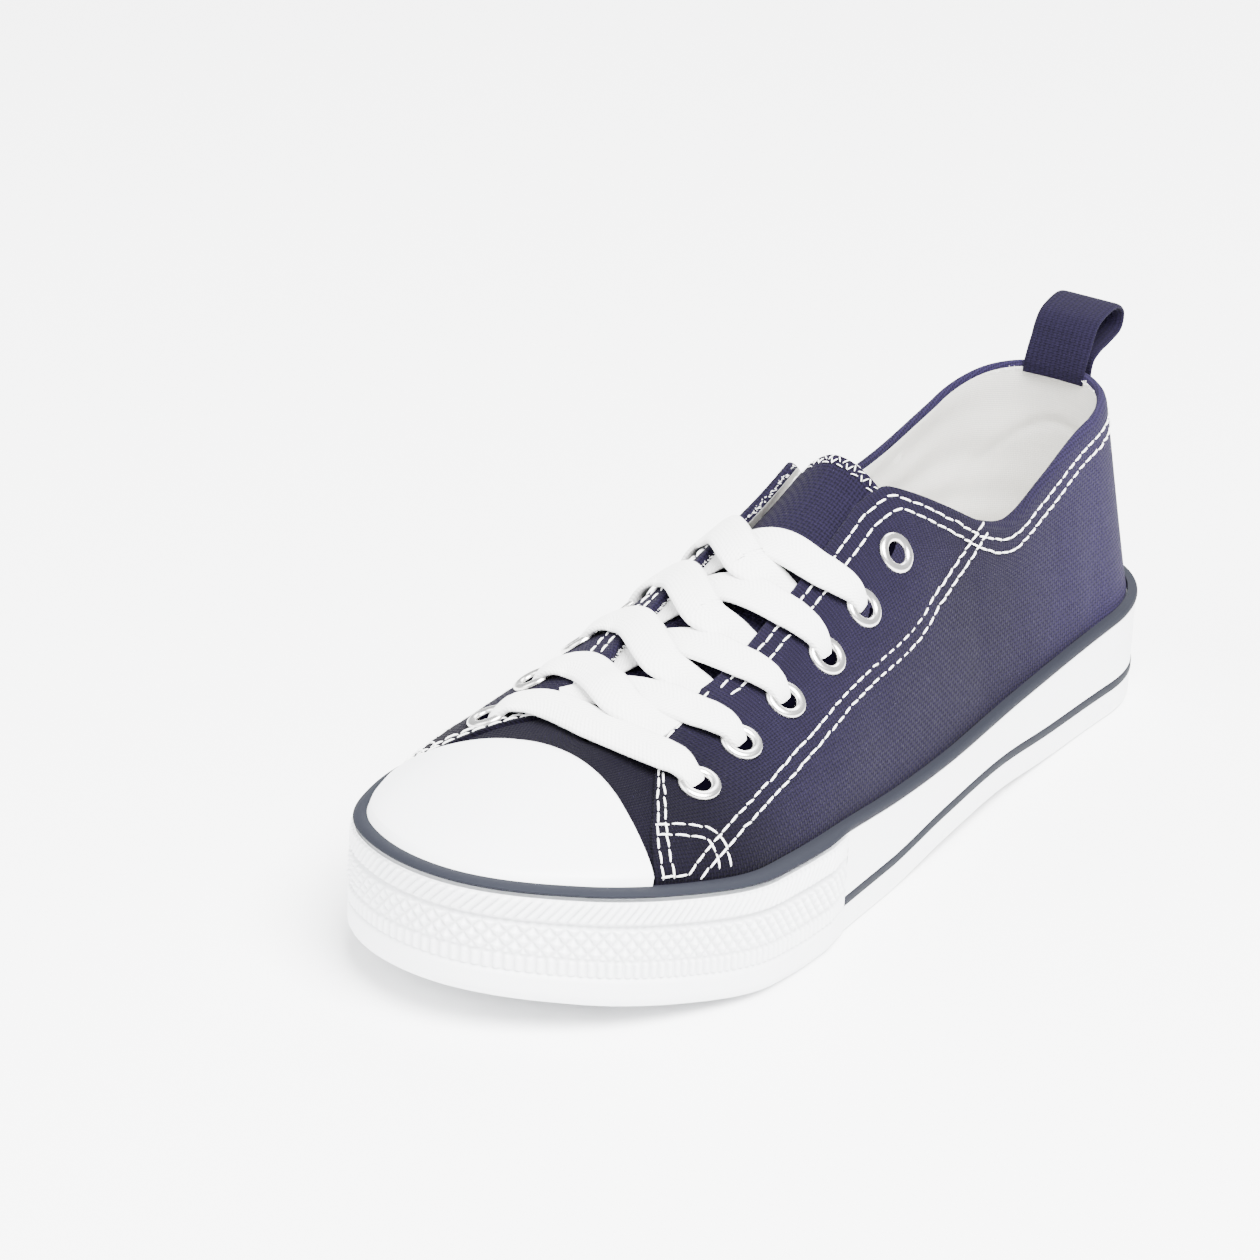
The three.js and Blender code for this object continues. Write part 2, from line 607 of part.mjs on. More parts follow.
// Eyelet: a rolled flange on the quarter and a barrel through it
const FLANGE_HEIGHT = 0.9;
const FLANGE_FACE = EYELET_RADIUS - 0.7;
const BARREL_FOOT = -CANVAS - 0.2;
const EYELET_SIDES = 8;
const eyelet = (row, side) => {
  const bore = EYELET_BORE;
  const barrel = bore + EYELET_WALL;
  const seat = QUARTER_STEP + GAP;
  const geometry = new THREE.LatheGeometry([
    new THREE.Vector2(bore, BARREL_FOOT),
    new THREE.Vector2(barrel, BARREL_FOOT),
    new THREE.Vector2(barrel, seat),
    new THREE.Vector2(EYELET_RADIUS, seat),
    new THREE.Vector2(FLANGE_FACE, seat + FLANGE_HEIGHT),
    new THREE.Vector2(bore, seat + 0.4 * FLANGE_HEIGHT),
    new THREE.Vector2(bore, BARREL_FOOT),
  ], EYELET_SIDES);
  const [x, y] = eyeletPlace(row, side);
  geometry.applyQuaternion(eyeletTurn(x, y));
  geometry.translate(...offSkinAt(x, y, 0));
  return geometry;
};

// Lace: flat strips over the skin, each row of the path a place along the strip and its height
const LACE_STEPS = 9;
const OVER_EYELET = QUARTER_STEP + 2 * GAP + FLANGE_HEIGHT + LACE_THICK / 2;
const OVER_QUARTER = QUARTER_STEP + GAP + LACE_THICK / 2 + 0.3;
const strip = (from, to, heights) => loft(range(LACE_STEPS + 1, (k) => {
  const share = k / LACE_STEPS;
  const place = (t) => [from[0] + (to[0] - from[0]) * t, from[1] + (to[1] - from[1]) * t];
  const [x, y] = place(share);
  const height = smooth(heights, 'height', share);
  const point = offSkinAt(x, y, height);
  const normal = offSkinAt(x, y, 1).sub(offSkinAt(x, y, 0));
  const heading = new THREE.Vector3(to[0] - from[0], to[1] - from[1], 0);
  const across = heading.cross(normal).setLength(LACE_WIDTH / 2);
  const up = normal.setLength(LACE_THICK / 2);
  return [
    point.clone().add(across).add(up),
    point.clone().sub(across).add(up),
    point.clone().sub(across).sub(up),
    point.clone().add(across).sub(up),
  ];
}), false);
const laceBar = () => {
  const ends = [1, -1].map((side) => eyeletPlace(EYELETS[0], side));
  return strip(ends[0], ends[1], [
    { at: 0, height: OVER_EYELET },
    { at: 0.14, height: OVER_EYELET },
    { at: 0.3, height: OVER_QUARTER },
    { at: 0.7, height: OVER_QUARTER },
    { at: 0.86, height: OVER_EYELET },
    { at: 1, height: OVER_EYELET },
  ]);
};
// One strip of a crossing comes up inside the throat beside one eyelet and goes to the next one
// back on the other side, and the strip to the inner side lies on top. The first crossing starts
// on the vamp, where the throat closes.
const OVER_VAMP = GAP + LACE_THICK / 2 + 0.1;
const OVER_TONGUE = -CANVAS + 0.75;
const LOWER_STRIP = 0.1;
const UPPER_STRIP = 0.8;
const CLOSED_THROAT = 0.44;
const laceStrip = (row, side) => {
  const [x, y] = eyeletPlace(EYELETS[row], -side);
  const half = THROAT_WIDTH * Math.max(CLOSED_THROAT, smooth(FACING, 'half', x / SOLE_LENGTH));
  const to = eyeletPlace(EYELETS[row + 1], side);
  const start = Math.min(half - 2, Math.abs(y));
  const middle = (side < 0 ? UPPER_STRIP : LOWER_STRIP) + (row === 0 ? OVER_VAMP - LOWER_STRIP : 0);
  const back = row === 0 ? LACE_WIDTH + 1.2 : 1.5;
  return strip([x - back, -side * start], to, [
    { at: 0, height: row === 0 ? OVER_VAMP : OVER_TONGUE },
    { at: 0.3, height: middle },
    { at: 0.45, height: middle + 0.1 },
    { at: 0.62, height: OVER_QUARTER },
    { at: 0.8, height: OVER_EYELET },
    { at: 1, height: OVER_EYELET },
  ]);
};
const laceCrossing = (row) => {
  const outerward = toSolid(laceStrip(row, 1));
  const innerward = toSolid(laceStrip(row, -1));
  const shells = outerward.add(innerward).decompose();
  const largest = shells.reduce((best, shell) => (shell.volume() > best.volume() ? shell : best));
  return toGeometry(largest);
};

// Materials
const finish = (color, roughness, metalness = 0) => (
  new THREE.MeshStandardMaterial({ color, roughness, metalness, flatShading: true }));
const whiteRubber = finish(0xeceef1, 0.45);
const treadRubber = finish(0xdadcdf, 0.6);
const darkRubber = finish(0x42465a, 0.5);
const canvas = finish(0x423e62, 0.9);
const lining = finish(0xe9e6df, 0.95);
const cotton = finish(0xf5f5f5, 0.9);
const nickel = finish(0xc9cac8, 0.3, 0.9);

const shoe = new THREE.Group();
const add = (name, geometry, material) => {
  const mesh = new THREE.Mesh(geometry, material);
  mesh.name = name;
  shoe.add(mesh);
};
add('outsole', outsole(), treadRubber);
add('midsole', midsole(), whiteRubber);
add('toe_bumper', toeBumper(), whiteRubber);
add('stripe_top', stripeTop(), darkRubber);
add('stripe_low', stripeLowRing(), darkRubber);
add('toe_cap', toeCap(), whiteRubber);
add('upper', upper(), canvas);
add('tongue', tongue(), canvas);
add('insole', insole(), lining);
add('pull_loop', pullLoop(), canvas);
EYELETS.forEach((row, k) => {
  add(`eyelet_lateral_${k + 1}`, eyelet(row, 1), nickel);
  add(`eyelet_medial_${k + 1}`, eyelet(row, -1), nickel);
});
add('lace_bar', laceBar(), cotton);
for (let row = 0; row < 4; row++) {
  add(`lace_crossing_${row + 1}`, laceCrossing(row), cotton);
}

// The shoe stands on the middle of its footprint, which the loop behind the heel lengthens
shoe.updateMatrixWorld(true);
const bounds = new THREE.Box3().setFromObject(shoe);
shoe.position.set(-(bounds.min.x + bounds.max.x) / 2, -(bounds.min.y + bounds.max.y) / 2, -bounds.min.z);

export default shoe;
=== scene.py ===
"""Canvas sneaker, the wearer's left shoe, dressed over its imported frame.

The shapes are worked out in millimetres from the heel tip, as in the part's source: x runs to
the toe, y to the outer side, z up. A station is a length along the sweep of the outline from
the heel tip, plus on the outer side and minus on the inner side.
"""

import math

import bpy
import numpy as np
from mathutils import Matrix, Vector


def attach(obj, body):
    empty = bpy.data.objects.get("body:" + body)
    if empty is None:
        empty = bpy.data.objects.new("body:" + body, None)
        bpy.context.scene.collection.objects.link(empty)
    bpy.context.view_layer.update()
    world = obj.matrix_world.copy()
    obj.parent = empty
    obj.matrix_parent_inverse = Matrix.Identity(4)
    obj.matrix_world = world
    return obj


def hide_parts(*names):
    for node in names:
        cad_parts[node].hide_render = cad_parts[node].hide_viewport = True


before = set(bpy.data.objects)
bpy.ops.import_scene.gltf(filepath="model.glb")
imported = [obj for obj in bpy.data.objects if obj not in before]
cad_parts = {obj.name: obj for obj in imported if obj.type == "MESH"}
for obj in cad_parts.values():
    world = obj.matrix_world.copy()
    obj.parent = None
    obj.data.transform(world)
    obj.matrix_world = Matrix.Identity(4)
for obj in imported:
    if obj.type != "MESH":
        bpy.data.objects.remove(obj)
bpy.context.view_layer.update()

bl_info = {
    "name": "Canvas Sneaker",
    "version": (1, 0, 0),
    "blender": (4, 5, 0),
    "location": "View3D > Sidebar > Sneaker",
    "description": "Builds the cloth, rubber, laces and stitching of a low canvas sneaker",
    "category": "Object",
}

# ---- Sizes of the shoe, as in the part's source (mm) ----
MM = 1000.0
HEEL_TIP = np.array([-132.7398, 0.1119, 0.0])
SOLE_LENGTH = 268.0
BALL_WIDTH = 95.4
HEEL_WIDTH = 66.0
BUMPER_THICK = 2.2
TOP_HEIGHT = 26.0
TOE_SPRING = 9.5
ARCH_RISE = 2.2
WALL_THICK = 2.1
BED_HEIGHT = 9.0
TREAD_THICK = 4.0
TOP_STRIPE_HEIGHT = 1.8
TOP_STRIPE_BULGE = 0.5
LOW_STRIPE_HEIGHT = 2.4
LOW_STRIPE_LEVEL = 6.6
CANVAS = 1.7
QUARTER_STEP = 0.9
CAP_THICK = 1.5
COLLAR_HEIGHT = 76.0
INSTEP_HEIGHT = 79.0
THROAT_WIDTH = 25.0
CORNER_ROUND = 0.15
EYELET_RADIUS = 4.8
EYELET_BORE = 2.5
LOOP_REACH = 16.5
LOOP_RISE = 14.0
LOOP_WIDTH, LOOP_THICK = 16.2, 1.3
TONGUE_WIDTH, TONGUE_THICK = 48.0, 2.0
LACE_MAP = 8.0  # width of the lace on its own map
GAP = 0.3
UPPER_INSET = WALL_THICK + GAP + QUARTER_STEP

HEEL_CENTRE = 0.123 * SOLE_LENGTH
TOE_CENTRE = 0.777 * SOLE_LENGTH
HEEL_FAN = HEEL_WIDTH / 2
TOE_FAN = BALL_WIDTH / 2
HALF_HEEL = HEEL_WIDTH / 2
HALF_BALL = BALL_WIDTH / 2
HEEL_END = HEEL_FAN * math.pi / 2
TOE_START = HEEL_END + TOE_CENTRE - HEEL_CENTRE
TOE_TIP = TOE_START + TOE_FAN * math.pi / 2


def heel_turn(degrees):
    return HEEL_FAN * math.radians(degrees)


def along(share):
    return HEEL_END + share * SOLE_LENGTH - HEEL_CENTRE


def toe_turn(degrees):
    return TOE_START + TOE_FAN * math.radians(90 - degrees)


# Tables: first column the place, then the named values at it
OUTLINE_AT = [heel_turn(0), heel_turn(45), along(0.123), along(0.30), along(0.46), along(0.62),
              along(0.70), along(0.777), toe_turn(60), toe_turn(30), toe_turn(0)]
OUTLINE_OF = [HALF_HEEL] * 3 + [HALF_BALL] * 8
OUTLINE_OUTER = [share * half for half, share in zip(OUTLINE_OF, (
    1.0, 0.98, 0.935, 0.71, 0.81, 0.90, 0.94, 0.952, 0.95, 1.06, 1.21))]
OUTLINE_INNER = [share * half for half, share in zip(OUTLINE_OF, (
    1.0, 1.0, 0.98, 0.63, 0.64, 0.83, 0.92, 0.953, 1.0, 1.15, 1.21))]
LEVEL_AT = [0.00, 0.04, 0.15, 0.24, 0.35, 0.46, 0.56, 0.66, 0.73, 0.82, 0.92, 1.00]
LEVEL_UNDER = [0.08 * TOE_SPRING, 0, 0, 0.2 * ARCH_RISE, ARCH_RISE, 0.8 * ARCH_RISE, 0, 0, 0,
               0.2 * TOE_SPRING, 0.6 * TOE_SPRING, TOE_SPRING]
LEVEL_TOP = [1.05, 1.04, 0.97, 0.93, 0.90, 0.89, 0.93, 1.02, 1.06, 1.12, 1.25, 1.36]
RIDGE_AT = [-0.02, 0.12, 0.25, 0.33, 0.42, 0.50, 0.60, 0.70, 0.78, 0.86, 0.93, 1.00]
RIDGE_HEIGHT = [1.67, 1.65, 1.49, 1.31, 1.11, 0.965, 0.815, 0.685, 0.60, 0.54, 0.505, 0.485]
SECTION_AT = [heel_turn(0), heel_turn(60), along(0.123), along(0.30), along(0.42), along(0.55),
              along(0.70), along(0.777), toe_turn(45), toe_turn(0)]
SECTION_SHOULDER = [1.6, 1.7, 1.8, 2.0, 2.0, 2.0, 2.1, 2.15, 2.3, 2.4]
SECTION_LEAN = [1.0, 1.0, 1.05, 1.25, 1.5, 1.7, 1.8, 1.8, 1.7, 1.6]
COLLAR_AT = [heel_turn(0), heel_turn(50), along(0.14), along(0.22), along(0.29), along(0.335),
             along(0.375), along(0.41), along(0.435)]
COLLAR_OUTER = [1.0, 0.98, 0.94, 0.865, 0.815, 0.855, 0.935, 1.01, 1.06]
COLLAR_INNER = [1.0, 0.96, 0.86, 0.80, 0.79, 0.835, 0.915, 1.0, 1.06]
FACING_AT = [0.38, 0.42, 0.45, 0.52, 0.60, 0.68, 0.73, 0.777]
FACING_HALF = [0.20, 0.36, 0.43, 0.47, 0.50, 0.50, 0.36, 0.09]
FRONT_AT = [0, 0.3, 0.5, 0.7, 0.85, 1]
FRONT_OUTER = [toe_turn(49), toe_turn(50), toe_turn(54), toe_turn(66), toe_turn(88), along(0.70)]
FRONT_INNER = [toe_turn(59), toe_turn(61), toe_turn(66), toe_turn(76), toe_turn(89), along(0.70)]
EYELET_AT = [0.787, 0.724, 0.658, 0.591, 0.526, 0.463]
EYELET_OUT = [0.56, 0.55, 0.545, 0.525, 0.49, 0.44]
LOOP_BACK = [0.0, 0.05, 0.22, 0.52, 0.81, 0.97, 0.92, 0.60, 0.36, 0.20, 0.17]
LOOP_UP = [-0.12, 0.46, 0.83, 0.98, 1.0, 0.84, 0.58, 0.43, 0.35, 0.22, -0.12]


# ---- The last, as functions on whole arrays ----
def curve(at, values, place, period=None):
    """Cubic through (at, values): on each span u runs 0..1, the two values are blended by
    u*u*(3 - 2u), and each end's slope, the chord of its neighbours, adds u(1-u) times its share."""
    at, values = np.asarray(at, float), np.asarray(values, float)
    place = np.asarray(place, float)
    if period:
        knots = np.concatenate([[at[-1] - period], at, [at[0] + period, at[1] + period]])
        heights = np.concatenate([[values[-1]], values, [values[0], values[1]]])
        where = np.mod(place, period)
        spans = len(at)
    else:
        knots = np.concatenate([[2 * at[0] - at[1]], at, [2 * at[-1] - at[-2]]])
        heights = np.concatenate([[2 * values[0] - values[1]], values,
                                  [2 * values[-1] - values[-2]]])
        where = np.clip(place, at[0], at[-1])
        spans = len(at) - 1
    k = np.clip(np.searchsorted(knots[1:spans + 1], where, side="right") - 1, 0, spans - 1)
    a, b, c, d = [(knots[k + n], heights[k + n]) for n in range(4)]
    span = c[0] - b[0]
    u = (where - b[0]) / span
    slope_b = (c[1] - a[1]) / (c[0] - a[0]) * span
    slope_c = (d[1] - b[1]) / (d[0] - b[0]) * span
    rise = u * u * (3 - 2 * u)
    return (1 - rise) * b[1] + rise * c[1] + u * (1 - u) * ((1 - u) * slope_b - u * slope_c)


def by_side(at, outer, inner, station):
    s = np.abs(station)
    return np.where(np.asarray(station) < 0, curve(at, inner, s), curve(at, outer, s))


LOOP_AT = OUTLINE_AT + [2 * TOE_TIP - at for at in OUTLINE_AT[-2:0:-1]]
LOOP_REACHES = OUTLINE_OUTER + OUTLINE_INNER[-2:0:-1]


def reach(station):
    return curve(LOOP_AT, LOOP_REACHES, station, 2 * TOE_TIP)


def under(x):
    return np.maximum(0, curve(LEVEL_AT, LEVEL_UNDER, x / SOLE_LENGTH))


def top(x):
    return TOP_HEIGHT * curve(LEVEL_AT, LEVEL_TOP, x / SOLE_LENGTH)


def bed(x):
    return under(x) + BED_HEIGHT


def wall_top(x):
    return top(x) - TOP_STRIPE_HEIGHT - GAP


def ridge(x):
    return INSTEP_HEIGHT * curve(RIDGE_AT, RIDGE_HEIGHT, x / SOLE_LENGTH)


def sweep(station):
    """Foot of the sweep line and its direction: a fan about the heel centre, straight runs, and
    a fan about the toe centre."""
    station = np.asarray(station, float)
    s = np.abs(station)
    turn = np.where(s < HEEL_END, math.pi - s / HEEL_FAN,
                    np.where(s > TOE_START, math.pi / 2 - (s - TOE_START) / TOE_FAN, math.pi / 2))
    x = np.clip(HEEL_CENTRE + s - HEEL_END, HEEL_CENTRE, TOE_CENTRE)
    side = np.where(station < 0, -1.0, 1.0)
    return x, np.cos(turn), side * np.sin(turn)


def station_at(x, y):
    side = np.where(y < 0, -1.0, 1.0)
    out = np.abs(y)
    heel = HEEL_FAN * np.arctan2(out, HEEL_CENTRE - x)
    toe = TOE_START + TOE_FAN * np.arctan2(x - TOE_CENTRE, out)
    middle = HEEL_END + x - HEEL_CENTRE
    return side * np.where(x < HEEL_CENTRE, heel, np.where(x > TOE_CENTRE, toe, middle))


def stack(*parts):
    return np.stack(np.broadcast_arrays(*parts), axis=-1)


def outline_point(station, inset, level, share=1.0):
    """Outline drawn in by the inset and to a share of its reach, at level(x)."""
    x, dx, dy = sweep(station)
    r = reach(station) - inset
    return stack(x + dx * r * share, dy * r * share, level(x + dx * r * share))


def outline_rings(stations, profile):
    """A profile of (inset, level) or (inset, level, share) carried along the stations."""
    return np.stack([outline_point(stations, *spot) for spot in profile], axis=1)


def raised(level, height):
    return lambda x: level(x) + height


def base_reach(station):
    return reach(station) - UPPER_INSET


def skin(station, share):
    """From the feather line (share 1) to the ridge (share 0): height rises over the feather
    line by (1 - share**shoulder)**(1/lean) of the way to the ridge."""
    x, dx, dy = sweep(station)
    r = base_reach(station)
    shoulder = curve(SECTION_AT, SECTION_SHOULDER, np.abs(station))
    lean = curve(SECTION_AT, SECTION_LEAN, np.abs(station))
    low = top(x + dx * r)
    px = x + dx * r * share
    rise = np.power(np.maximum(0, 1 - np.power(share, shoulder)), 1 / lean)
    return stack(px, dy * r * share, low + rise * (ridge(px) - low))


def unit(vectors):
    return vectors / np.maximum(np.linalg.norm(vectors, axis=-1, keepdims=True), 1e-9)


def normal(station, share):
    here = np.clip(share, 0.03, 0.99)
    forward = skin(station + 0.5, here) - skin(station - 0.5, here)
    inward = skin(station, here - 0.005) - skin(station, here + 0.005)
    return unit(np.cross(inward, forward))


def off_skin(station, share, offset):
    return skin(station, share) + normal(station, share) * np.asarray(offset)[..., None]


def share_at(x, y):
    station = station_at(x, y)
    fx = sweep(station)[0]
    return station, np.hypot(x - fx, y) / base_reach(station)


def on_skin(x, y, offset):
    station, share = share_at(np.asarray(x, float), np.asarray(y, float))
    return off_skin(station, share, offset)


def edge_share(station):
    """Share at the upper's top edge: collar and facing joined by a rounded corner, half of
    their sum plus the hypotenuse of their difference and the rounding."""
    station = np.asarray(station, float)
    height = COLLAR_HEIGHT * by_side(COLLAR_AT, COLLAR_OUTER, COLLAR_INNER, station)
    low, high = np.zeros_like(station), np.ones_like(station)
    for _ in range(24):
        middle = (low + high) / 2
        above = skin(station, middle)[..., 2] > height
        low, high = np.where(above, middle, low), np.where(above, high, middle)
    facing = THROAT_WIDTH * curve(FACING_AT, FACING_HALF, sweep(station)[0] / SOLE_LENGTH)
    half = facing / base_reach(station)
    return (high + half + np.hypot(high - half, CORNER_ROUND)) / 2


def front(v, side):
    return curve(FRONT_AT, FRONT_INNER if side < 0 else FRONT_OUTER, v)


def run_of(points):
    """Running length of a polyline, 0 at its start."""
    return np.concatenate([[0], np.cumsum(np.linalg.norm(np.diff(points, axis=0), axis=1))])


def pick(values, at, where):
    """Rows of values, known at the lengths, read between them."""
    return np.stack([np.interp(where, at, column) for column in values.T], 1)


def resample(points, step):
    """Points along a polyline at an even step of its length, and their lengths."""
    lengths = run_of(points)
    at = np.linspace(0, lengths[-1], max(2, int(round(lengths[-1] / step)) + 1))
    return pick(points, lengths, at), at


def soft_line(points, count=200):
    """Smooth line through a few given points, by the same cubic on their running length."""
    points = np.asarray(points, float)
    at = run_of(points)
    return np.stack([curve(at, column, np.linspace(0, at[-1], count)) for column in points.T], 1)


# ---- Meshes ----
BAND_FACE_POWER = 2.2


def grid_faces(rows, columns, wrap_rows=False, wrap_columns=False):
    """Quads between neighbours of a grid of points; either way may close on itself."""
    i = np.arange(rows if wrap_rows else rows - 1)[:, None]
    j = np.arange(columns if wrap_columns else columns - 1)[None, :]
    a = i * columns + j
    b = i * columns + (j + 1) % columns
    c = (i + 1) % rows * columns + (j + 1) % columns
    d = (i + 1) % rows * columns + j
    return np.stack(np.broadcast_arrays(a, b, c, d), -1).reshape(-1, 4)


def link(name, data):
    made = bpy.data.objects.new(name, data)
    bpy.context.scene.collection.objects.link(made)
    return made


def lay_mesh(name, points, faces, materials, uv=None, finish=None, sharp=35.0):
    """Mesh from arrays: points in mm from the heel tip, quads, a uv pair per point in mm, and the
    place of each face's material in their list. Faces are turned outward by the sign of the
    enclosed volume."""
    points = np.asarray(points, float).reshape(-1, 3)
    a, b, c, d = [points[faces[:, k]] for k in range(4)]
    middle = points.mean(0)
    volume = np.einsum("ij,ij->", a - middle, np.cross(b - middle, c - middle))
    volume += np.einsum("ij,ij->", a - middle, np.cross(c - middle, d - middle))
    if volume < 0:
        faces = faces[:, ::-1]
    mesh = bpy.data.meshes.new(name)
    mesh.vertices.add(len(points))
    mesh.vertices.foreach_set("co", ((points + HEEL_TIP) / MM).ravel())
    mesh.loops.add(faces.size)
    mesh.loops.foreach_set("vertex_index", faces.ravel().astype(np.int32))
    mesh.polygons.add(len(faces))
    mesh.polygons.foreach_set("loop_start", np.arange(0, faces.size, 4, dtype=np.int32))
    if finish is not None:
        mesh.polygons.foreach_set("material_index", np.asarray(finish, np.int32))
    if uv is not None:
        layer = mesh.uv_layers.new(name="cloth")
        layer.data.foreach_set("uv", np.asarray(uv, float).reshape(-1, 2)[faces.ravel()].ravel())
    mesh.update(calc_edges=True)
    mesh.validate()
    mesh.shade_smooth()
    if sharp:
        mesh.set_sharp_from_angle(angle=math.radians(sharp))
    for key in materials:
        mesh.materials.append(material(key))
    return link(name, mesh)


def carry(points, profile, across, up):
    """Profile (k, 2), or one profile a point, carried along a path: point + across * p0 + up * p1."""
    return points[:, None] + across[:, None] * profile[..., :1] + up[:, None] * profile[..., 1:]


def close_ends(rings):
    """Adds a ring drawn together at its middle at both ends, so the swept form is closed."""
    first, last = rings[:1].mean(1, keepdims=True), rings[-1:].mean(1, keepdims=True)
    width = rings.shape[1]
    return np.concatenate([np.repeat(first, width, 1), rings, np.repeat(last, width, 1)])


def rounded_band(width, thick, count, power):
    """Closed section of a flat band: a superellipse of the given width and thickness."""
    turn = np.linspace(0, 2 * math.pi, count, endpoint=False)
    c, s = np.cos(turn), np.sin(turn)
    return np.stack([np.sign(c) * np.abs(c) ** (2 / power) * width / 2,
                     np.sign(s) * np.abs(s) ** (2 / BAND_FACE_POWER) * thick / 2], -1)


def place(piece, slot, *nodes):
    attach(piece, "root")
    if nodes:
        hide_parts(*nodes)
    return piece


def dress(name, rings, materials, slot, nodes, wrap=False, uv=None, finish=None, sharp=50):
    """Closed piece over rings of points: they run round and meet, or both ends are closed."""
    if not wrap:
        rings = close_ends(rings)
        uv = None if uv is None else np.concatenate([uv[:1], uv, uv[-1:]])
    faces = grid_faces(*rings.shape[:2], wrap, True)
    return place(lay_mesh(name, rings, faces, materials, uv, finish, sharp), slot, *nodes)


# ---- Materials: sums on sockets ----
def math_node(operation, turned=False):
    """Method that adds one Math node on a wire and the other values, in turned order if asked."""
    def method(self, *others):
        values = (*others, self) if turned else (self, *others)
        return node(self.tree, "ShaderNodeMath", {"operation": operation}, dict(enumerate(values)))
    return method


class Wire:
    """A socket of a material; sums on it add Math nodes."""

    def __init__(self, tree, socket):
        self.tree, self.socket = tree, socket

    __add__, __radd__ = math_node("ADD"), math_node("ADD", True)
    __sub__, __rsub__ = math_node("SUBTRACT"), math_node("SUBTRACT", True)
    __mul__, __rmul__ = math_node("MULTIPLY"), math_node("MULTIPLY", True)
    __truediv__, __rtruediv__ = math_node("DIVIDE"), math_node("DIVIDE", True)
    __mod__, larger = math_node("FLOORED_MODULO"), math_node("MAXIMUM")
    __abs__, floor, sine = math_node("ABSOLUTE"), math_node("FLOOR"), math_node("SINE")

    def between(self, low, high):
        """0 at low, 1 at high, smooth between."""
        return node(self.tree, "ShaderNodeMapRange", {"interpolation_type": "SMOOTHSTEP"},
                    {0: self, 1: low, 2: high, 3: 0.0, 4: 1.0})


def node(tree, kind, settings=None, inputs=None, output=0):
    """One node of any kind: its settings first, then the values or wires of its sockets."""
    made = tree.nodes.new(kind)
    for key, value in (settings or {}).items():
        if key == "stops":
            ramp = made.color_ramp
            while len(ramp.elements) < len(value):
                ramp.elements.new(0.5)
            for element, (position, colour) in zip(ramp.elements, value):
                element.position, element.color = position, colour
        else:
            setattr(made, key, value)
    for key, value in (inputs or {}).items():
        if isinstance(value, Wire):
            tree.links.new(value.socket, made.inputs[key])
        elif value is not None:
            made.inputs[key].default_value = value
    return Wire(tree, made.outputs[output])


class Paint:
    """A material with one main shader, and the patterns that feed it."""

    def __init__(self, name, roughness=0.5, **constants):
        self.material = bpy.data.materials.new(name)
        self.material.use_nodes = True
        self.tree = self.material.node_tree
        self.shader = self.tree.nodes["Principled BSDF"]
        self.shader.inputs["Roughness"].default_value = roughness
        for key, value in constants.items():
            self.shader.inputs[key.replace("_", " ")].default_value = value

    def node(self, kind, settings=None, inputs=None, output=0):
        return node(self.tree, kind, settings, inputs, output)

    def parts(self, vector):
        split = self.tree.nodes.new("ShaderNodeSeparateXYZ")
        self.tree.links.new(vector.socket, split.inputs[0])
        return [Wire(self.tree, split.outputs[k]) for k in range(3)]

    def place(self):
        return self.node("ShaderNodeTexCoord", output=3)

    def cloth(self):
        """The piece's own map in mm: u along, v across."""
        return self.node("ShaderNodeUVMap", {"uv_map": "cloth"})

    def noise(self, vector, scale, detail=3.0, rough=0.5):
        return self.node("ShaderNodeTexNoise", None, {
            "Vector": vector, "Scale": scale, "Detail": detail, "Roughness": rough})

    def mix(self, factor, first, second, blend="MIX"):
        return self.node("ShaderNodeMix", {"data_type": "RGBA", "blend_type": blend},
                         {0: factor, 6: first, 7: second}, 2)

    def bump(self, height, depth, strength=1.0, after=None):
        return self.node("ShaderNodeBump", None, {
            "Height": height, "Distance": depth, "Strength": strength, "Normal": after})

    def feed(self, socket, wire):
        self.tree.links.new(wire.socket, self.shader.inputs[socket])

    def tint(self, colour, tone):
        """The colour times a pattern."""
        return self.node("ShaderNodeVectorMath", {"operation": "SCALE"},
                         {0: tuple(colour)[:3], 3: tone})

    def slubs(self, along, across):
        """Thick places of threads: noise drawn out along one of the two directions."""
        return self.noise(self.node("ShaderNodeCombineXYZ", None, {0: along, 1: across}), 1.0, 1.0)

    def weave(self, u, v, pitch, ratio=1.0):
        """Plain weave: two sets of ridges |sin| a pitch apart, which pass over each other by
        turns from one cell to the next."""
        a, b = u / pitch, v / (pitch * ratio)
        turn = (a.floor() + b.floor()) % 2.0
        warp = abs((a * math.pi).sine()) * (0.5 + turn * 0.5)
        weft = abs((b * math.pi).sine()) * (1.0 - turn * 0.5)
        return warp.larger(weft)


def linear(colour):
    """sRGB parts to a linear colour with alpha."""
    c = np.asarray(colour, float)
    lin = np.where(c <= 0.04045, c / 12.92, ((c + 0.055) / 1.055) ** 2.4)
    return tuple(float(k) for k in lin) + (1.0,)


def shaded(colour, amount):
    return tuple(min(1.0, k * amount) for k in colour[:3]) + (1.0,)


# Painted light and shade of the canvas: how much paler it is painted at the heel, as painted light,
# and how much of that is lost over two runs of x in the frame (m), down to painted shade at the toe
HEEL_PAINTED_LIGHT = 4.2
PAINTED_LIGHT_FALLOFF = [((-0.13, -0.03), 3.9), ((0.05, 0.09), 1.9)]
SLUB_LENGTH = 0.06


